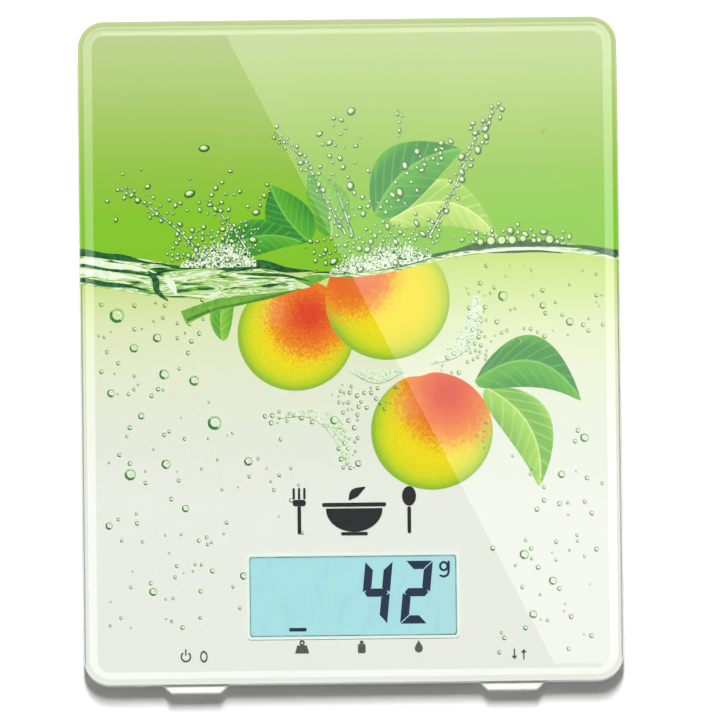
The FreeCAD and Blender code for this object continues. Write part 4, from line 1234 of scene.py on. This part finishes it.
    def beads(self) -> None:
        """Prints the row of bubbles that float on the water at the right."""
        rng = random.Random(self.seed + 2)
        row = []
        for i in range(15):
            x, radius = 39.5 + 1.6 * i, rng.choice((0.8, 1.1, 1.5))
            row.append((x, self.surface(x) + 0.5 + radius * rng.uniform(0.5, 1.0), radius))
        kept = [row[0]]
        for x, y, radius in row[1:]:
            if math.hypot(x - kept[-1][0], y - kept[-1][1]) > 0.95 * (radius + kept[-1][2]):
                kept.append((x, y, radius))
        for name, share, dx, finish in (
            ("ink_bead_rim", 1.0, 0.0, INK_WATER_DARK),
            ("ink_bead", 0.74, 0.08, INK_BEAD),
            ("ink_bead_glint", 0.3, 0.3, INK_WATER_LIGHT),
        ):
            discs = [shifted(ellipse(r * share, r * share, 20), x - r * dx, y + r * dx) for x, y, r in kept]
            self.sheet(name, discs, finish)

    def kitchen_sign(self, x: float = 0.6, y: float = -47.6) -> None:
        """Prints a plain kitchen pictogram: a bowl with a leaf over it, between a fork and a spoon."""
        half_turn = [math.pi + math.pi * i / 30 for i in range(31)]
        bowl = [(8.5 * math.cos(a), 7.0 * math.sin(a)) for a in half_turn]
        shapes = [
            bowl,
            shifted(rounded_rectangle(9.6, 0.55, 0.5), 0, 1.15),
            shifted(rounded_rectangle(4.0, 0.45, 0.4), 0, -7.6),
            ribbon([(-1.5, 2.6), (0.2, 4.6), (3.4, 6.4)], [0.3, 2.6, 0.2]),
            shifted(ellipse(2.1, 2.9), 16.5, 3.6),
            shifted(rounded_rectangle(0.55, 4.0, 0.5), 16.5, -3.6),
            shifted(rounded_rectangle(0.55, 4.2, 0.5), -16.5, -3.4),
            shifted(rounded_rectangle(2.0, 0.9, 0.8), -16.5, 1.8),
        ]
        shapes += [shifted(rounded_rectangle(0.35, 1.7, 0.3), -16.5 + dx, 4.6) for dx in (-1.6, 0.0, 1.6)]
        self.sheet("ink_kitchen_sign", shapes, INK_BLACK, x, y)

    def signs(self) -> None:
        """Prints the small signs: what is weighed under the window, and what each button does."""
        line, mesh, low = 0.42, bmesh.new(), self.next_layer()
        high = low + self.film
        weight, bottle, drop = (-15.5, -89.4), (2.4, -89.4), (19.5, -89.4)
        power, zero, down, up = (-50.4, -91.7), (-45.0, -91.7), (48.2, -92.0), (51.0, -92.0)
        shaft = rounded_rectangle(line / 2, 1.1, 0.15)
        head = [(0.0, -1.5), (0.85, -0.5), (-0.85, -0.5)]
        round_arc = [math.radians(145 + 250 * i / 20) for i in range(21)]
        shapes = [
            shifted([(-2.1, -1.6), (2.1, -1.6), (1.45, 0.7), (-1.45, 0.7)], *weight),
            shifted(rounded_rectangle(1.15, 1.3, 0.4), bottle[0], bottle[1] - 0.4),
            shifted(rounded_rectangle(0.55, 0.4, 0.15), bottle[0], bottle[1] + 1.5),
            shifted([(0.0, 1.9), *[(1.2 * math.cos(a), -0.5 + 1.2 * math.sin(a)) for a in round_arc]], *drop),
            shifted(rounded_rectangle(line / 2, 0.95, 0.15), power[0], power[1] + 1.3),
            shifted(shaft, down[0], down[1] + 0.5),
            shifted(head, *down),
            shifted(shaft, up[0], up[1] - 0.5),
            shifted(turned(head, 180), *up),
        ]
        for outline in shapes:
            slab(mesh, outline, low, high)
        for rx, ry, x, y in ((0.8, 0.8, weight[0], weight[1] + 1.5), (1.15, 1.7, *zero)):
            band(mesh, shifted(ellipse(rx, ry, 28), x, y), shifted(ellipse(rx - line, ry - line, 28), x, y),
                 low, high)
        arc = [math.radians(125 + 290 * i / 28) for i in range(29)]
        ring = [(1.6 * math.cos(a), 1.6 * math.sin(a)) for a in arc]
        ring += [((1.6 - line) * math.cos(a), (1.6 - line) * math.sin(a)) for a in reversed(arc)]
        slab(mesh, shifted(ring, *power), low, high)
        self.plan.settle(new_piece("ink_signs", mesh, INK_GREY), "glass_ink")

    def window_lines(self) -> None:
        """Prints the line round the display window and the pale line outside it."""
        low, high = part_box("lcd_front_glass")
        middle = ((low + high) / 2 - Vector((self.plan.x, self.plan.y, 0.0))) / MM
        for name, inner, outer, finish in (("ink_window_halo", (31.1, 12.1), (31.9, 12.9), INK_HALO),
                                           ("ink_window_line", (30.7, 11.7), (31.1, 12.1), INK_OUTLINE)):
            mesh, bottom = bmesh.new(), self.next_layer()
            lines = rounded_rectangle(*outer, 1.2), rounded_rectangle(*inner, 0.8)
            band(mesh, *lines, bottom, bottom + self.film)
            self.plan.settle(new_piece(name, mesh, finish), "glass_ink", middle.x, middle.y)

    def build(self, plan: Plan, ground: Piece) -> None:
        """Prints every layer in order, the lowest first."""
        self.plan = plan
        self.ground(ground)
        self.leaves()
        self.fruits()
        self.water()
        self.splash()
        self.bubbles()
        self.beads()
        self.kitchen_sign()
        self.signs()
        self.window_lines()


class Stroke(Enum):
    """The strokes of a seven-stroke figure: start column and row, end column and row, and the way inwards."""

    TOP = (0, 2, 1, 2, 0, -1)
    UPPER_RIGHT = (1, 2, 1, 1, -1, 0)
    LOWER_RIGHT = (1, 0, 1, 1, -1, 0)
    BOTTOM = (0, 0, 1, 0, 0, 1)
    LOWER_LEFT = (0, 0, 0, 1, 1, 0)
    UPPER_LEFT = (0, 2, 0, 1, 1, 0)
    MIDDLE = (0, 1, 1, 1, 0, 0)


FOUR = (Stroke.UPPER_LEFT, Stroke.MIDDLE, Stroke.UPPER_RIGHT, Stroke.LOWER_RIGHT)
TWO = (Stroke.TOP, Stroke.UPPER_RIGHT, Stroke.MIDDLE, Stroke.LOWER_LEFT, Stroke.BOTTOM)


@dataclass
class Display:
    """The lit display and the dark strokes that are switched on.

    Attributes:
        width: Width of a figure.
        height: Height of a figure.
        thick: Thickness of a stroke.
        gap: Half of the gap between two strokes.
        slant: How far the figures lean, as a share of their height.
        foot: y of the figures' feet.
        lift: From the display's glass to the strokes.
        film: Thickness of the strokes' film.
        figures: x of each figure's foot, and its strokes.
    """

    width: float = 8.2
    height: float = 18.9
    thick: float = 2.5
    gap: float = 0.2
    slant: float = 0.1
    foot: float = -82.5
    lift: float = 0.03
    film: float = 0.02
    figures: tuple[tuple[float, tuple[Stroke, ...]], ...] = ((1.9, FOUR), (13.95, TWO))

    def stroke(self, kind: Stroke) -> Outline:
        """Returns one upright stroke: mitred at the figure's corners, and pointed where three meet."""
        column_a, row_a, column_b, row_b, in_x, in_y = kind.value
        ax, ay = column_a * self.width, row_a * self.height / 2
        bx, by = column_b * self.width, row_b * self.height / 2
        length = math.hypot(bx - ax, by - ay)
        ux, uy = (bx - ax) / length, (by - ay) / length
        half, gap = self.thick / 2, self.gap
        if kind is Stroke.MIDDLE:
            points = ((gap + 0.35, 0.0), (half + gap, -half), (length - half - gap, -half),
                      (length - gap - 0.35, 0.0), (length - half - gap, half), (half + gap, half))
            return [(ax + along, ay + across) for along, across in points]
        far_cut = half if row_b == 1 else self.thick
        points = ((gap, 0.0), (length - gap, 0.0), (length - far_cut - gap, self.thick),
                  (self.thick + gap, self.thick))
        return [(ax + along * ux + across * in_x, ay + along * uy + across * in_y)
                for along, across in points]

    def slanted(self, outline: Outline, x: float) -> Outline:
        """Leans an outline and puts it in its place on the display."""
        return [(px + py * self.slant + x, py + self.foot) for px, py in outline]

    def build(self, plan: Plan, cell: Piece) -> None:
        """Dresses the cell and adds the strokes, the unit and the mark under the reading."""
        dress(cell, LCD_LIT)
        mesh = bmesh.new()
        low = plan.display_top + self.lift
        for x, strokes in self.figures:
            for kind in strokes:
                slab(mesh, self.slanted(self.stroke(kind), x), low, low + self.film)
        slab(mesh, shifted(rounded_rectangle(2.6, 0.55, 0.2), -16.7, -83.95), low, low + self.film)
        bowl = (27.3, -65.3)
        band(mesh, shifted(ellipse(1.45, 1.55, 28), *bowl), shifted(ellipse(0.75, 0.85, 28), *bowl),
             low, low + self.film)
        tail = ribbon([(28.75, -63.7), (28.75, -66.0), (28.5, -67.7), (27.3, -68.4), (26.0, -68.0)],
                      [0.7, 0.7, 0.7, 0.7, 0.6], 8)
        slab(mesh, tail, low + 0.03, low + 0.03 + self.film)
        plan.settle(new_piece("display_strokes", mesh, LCD_SEGMENT), "display_glass")


# ---------------------------------------------------------------------------------------------- the studio
@dataclass
class Studio:
    """Floor, lamps and camera. Places are counted from the middle of the glass.

    Attributes:
        view: Width of what the camera sees at the glass, in millimetres.
        distance: From the camera to the glass, in metres.
        elevation: Height of the camera over the horizon, in degrees.
        roll: Turn of the camera about its own axis, in degrees.
        aim: Point that the camera looks at, in millimetres.
        floor_half: Half of the floor's width, in metres.
        ambient: Brightness of the room for dull surfaces.
        gloss: Brightness of the room for mirrors.
        ring: Brightness of the ring overhead that only mirrors see.
        ring_edges: Where its inner and its outer edge start and end, in degrees from the vertical.
        key_elevation: Height of the key light over the horizon, in degrees.
        key_distance: From the key light to the glass, in metres.
        key_size: Width and height of the key light, in metres.
        key: Radiance of the key light.
        sheen: Radiance of the card that the glass mirrors.
        sheen_height: From the card to the glass, in metres.
        sheen_half: Half of the card's width, in metres.
        sheen_edge: Two points on the line where the sheen begins, in metres.
    """

    view: float = 216.2
    distance: float = 8.0
    elevation: float = 85.0
    roll: float = 0.65
    aim: Point = (2.85, -3.15)
    floor_half: float = 3.0
    ambient: float = 0.155
    gloss: float = 0.35
    ring: float = 3.4
    ring_edges: tuple[Point, Point] = ((7.5, 9.5), (22.0, 30.0))
    key_elevation: float = 70.0
    key_distance: float = 4.0
    key_size: Point = (0.3, 1.2)
    key: float = 146.0
    sheen: float = 2.2
    sheen_height: float = 1.0
    sheen_half: float = 0.35
    sheen_edge: tuple[Point, Point] = ((-0.0368, 0.0987), (0.0602, -0.0927))

    def floor(self) -> None:
        """Builds a wide paper floor under the scale."""
        mesh = bmesh.new()
        bmesh.ops.create_grid(mesh, x_segments=4, y_segments=4, size=self.floor_half)
        floor = new_piece("studio_floor", mesh, PAPER_SWEEP)

    def sky(self) -> None:
        """Fills the room with a weak even light, and hangs a bright ring overhead that only mirrors see."""
        world = bpy.data.worlds.new("studio_air")
        world.use_nodes = True
        add, nodes = partial(add_node, world.node_tree), world.node_tree.nodes
        ray = add("TexCoord").outputs["Generated"]
        height = add("SeparateXYZ", links={0: ray}).outputs["Z"]
        tilt = add("Math", {"operation": "ARCCOSINE"}, {0: height})
        inner, outer = (
            add(
                "MapRange", {"From Min": math.radians(start), "From Max": math.radians(end), **SMOOTH},
                {"Value": tilt},
            )
            for start, end in self.ring_edges
        )
        inside = add("Math", {"operation": "SUBTRACT"}, {0: inner, 1: outer})
        mirrored = add("MapRange", {"To Min": self.gloss, "To Max": self.ring}, {"Value": inside})
        path = add("LightPath")
        level = add(
            "MapRange", {"To Min": self.ambient},
            {"Value": path.outputs["Is Glossy Ray"], "To Max": mirrored},
        )
        air = nodes["Background"]
        air.inputs["Color"].default_value = linear("#FFFFFF")
        world.node_tree.links.new(level.outputs[0], air.inputs["Strength"])
        bpy.context.scene.world = world

    def lamp(self, name: str, place: Vector, target: Vector, size: Point, radiance: float) -> Piece:
        """Adds a rectangular lamp that faces a point and has that radiance."""
        light = bpy.data.lights.new(name, "AREA")
        light.shape = "RECTANGLE"
        light.size, light.size_y = size
        light.energy = radiance * math.pi * size[0] * size[1]
        lamp = bpy.data.objects.new(name, light)
        lamp.location = place
        lamp.rotation_euler = (target - place).to_track_quat("-Z", "Y").to_euler()
        bpy.context.scene.collection.objects.link(lamp)
        lamp.visible_camera = False
        return lamp

    def direction(self, elevation: float, away: float) -> Vector:
        """Returns the way up at an elevation: from the user if away is 1, and towards them if it is -1."""
        tilt = math.radians(elevation)
        return Vector((0.0, away * math.cos(tilt), math.sin(tilt)))

    def lamps(self, middle: Vector) -> None:
        """Adds the key light behind the scale and the card that puts a sheen over half of the glass."""
        place = middle + self.direction(self.key_elevation, 1.0) * self.key_distance
        key = self.lamp("key_light", place, middle, self.key_size, self.key)
        key.visible_glossy = False
        key.visible_transmission = False
        start, end = (Vector((*point, 0.0)) for point in self.sheen_edge)
        along = (end - start).normalized()
        side = Vector((-along.y, along.x, 0.0)) * self.sheen_half
        mirrored = self.direction(self.elevation, 1.0) * self.sheen_height
        centre = middle + (start + end) / 2 + side + mirrored
        size = (2 * self.sheen_half, 2 * self.sheen_half)
        card = self.lamp("sheen_card", centre, centre - Vector((0.0, 0.0, 1.0)), size, self.sheen)
        card.rotation_euler = (0.0, 0.0, math.atan2(along.y, along.x))
        card.visible_diffuse = False
        card.visible_transmission = False

    def camera(self, middle: Vector) -> None:
        """Adds the long-lens camera above the front edge."""
        data = bpy.data.cameras.new("studio_camera")
        data.sensor_width = 36.0
        data.lens = data.sensor_width * self.distance / (self.view * MM)
        data.clip_end = 50.0
        camera = bpy.data.objects.new("studio_camera", data)
        target = middle + Vector((self.aim[0] * MM, self.aim[1] * MM, 0.0))
        back = self.direction(self.elevation, -1.0)
        camera.location = target + back * self.distance
        look = (-back).to_track_quat("-Z", "Y").to_matrix().to_4x4()
        camera.matrix_world = (
            Matrix.Translation(camera.location) @ look @ Matrix.Rotation(math.radians(-self.roll), 4, "Z")
        )
        bpy.context.scene.collection.objects.link(camera)
        bpy.context.scene.camera = camera

    def build(self, plan: Plan) -> None:
        """Builds the whole studio round the scale."""
        middle = Vector((plan.x, plan.y, plan.glass_top * MM))
        self.floor()
        self.sky()
        self.lamps(middle)
        self.camera(middle)
        bpy.context.scene.view_settings.view_transform = "Standard"


def dress_nodes(frame: dict) -> None:
    """Gives every node of the frame the finish that its material slot stands for."""
    slots = {part["node"]: part["material_slot"] for part in frame["record"]["subparts"]}
    for name, node in frame["nodes"].items():
        if slots[name] in SLOT_FINISHES:
            dress(node, SLOT_FINISHES[slots[name]])


def main() -> None:
    """Loads the frame, builds and dresses everything."""
    logging.basicConfig(level=logging.INFO, format="%(message)s")
    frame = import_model()
    plan = Plan.from_frame()
    dress_nodes(frame)
    GlassPlate().build(plan)
    Print().build(plan, frame["nodes"]["printed_layer"])
    Display().build(plan, frame["nodes"]["lcd_front_glass"])
    Studio().build(plan)
    bpy.context.view_layer.update()


if __name__ == "__main__":
    main()
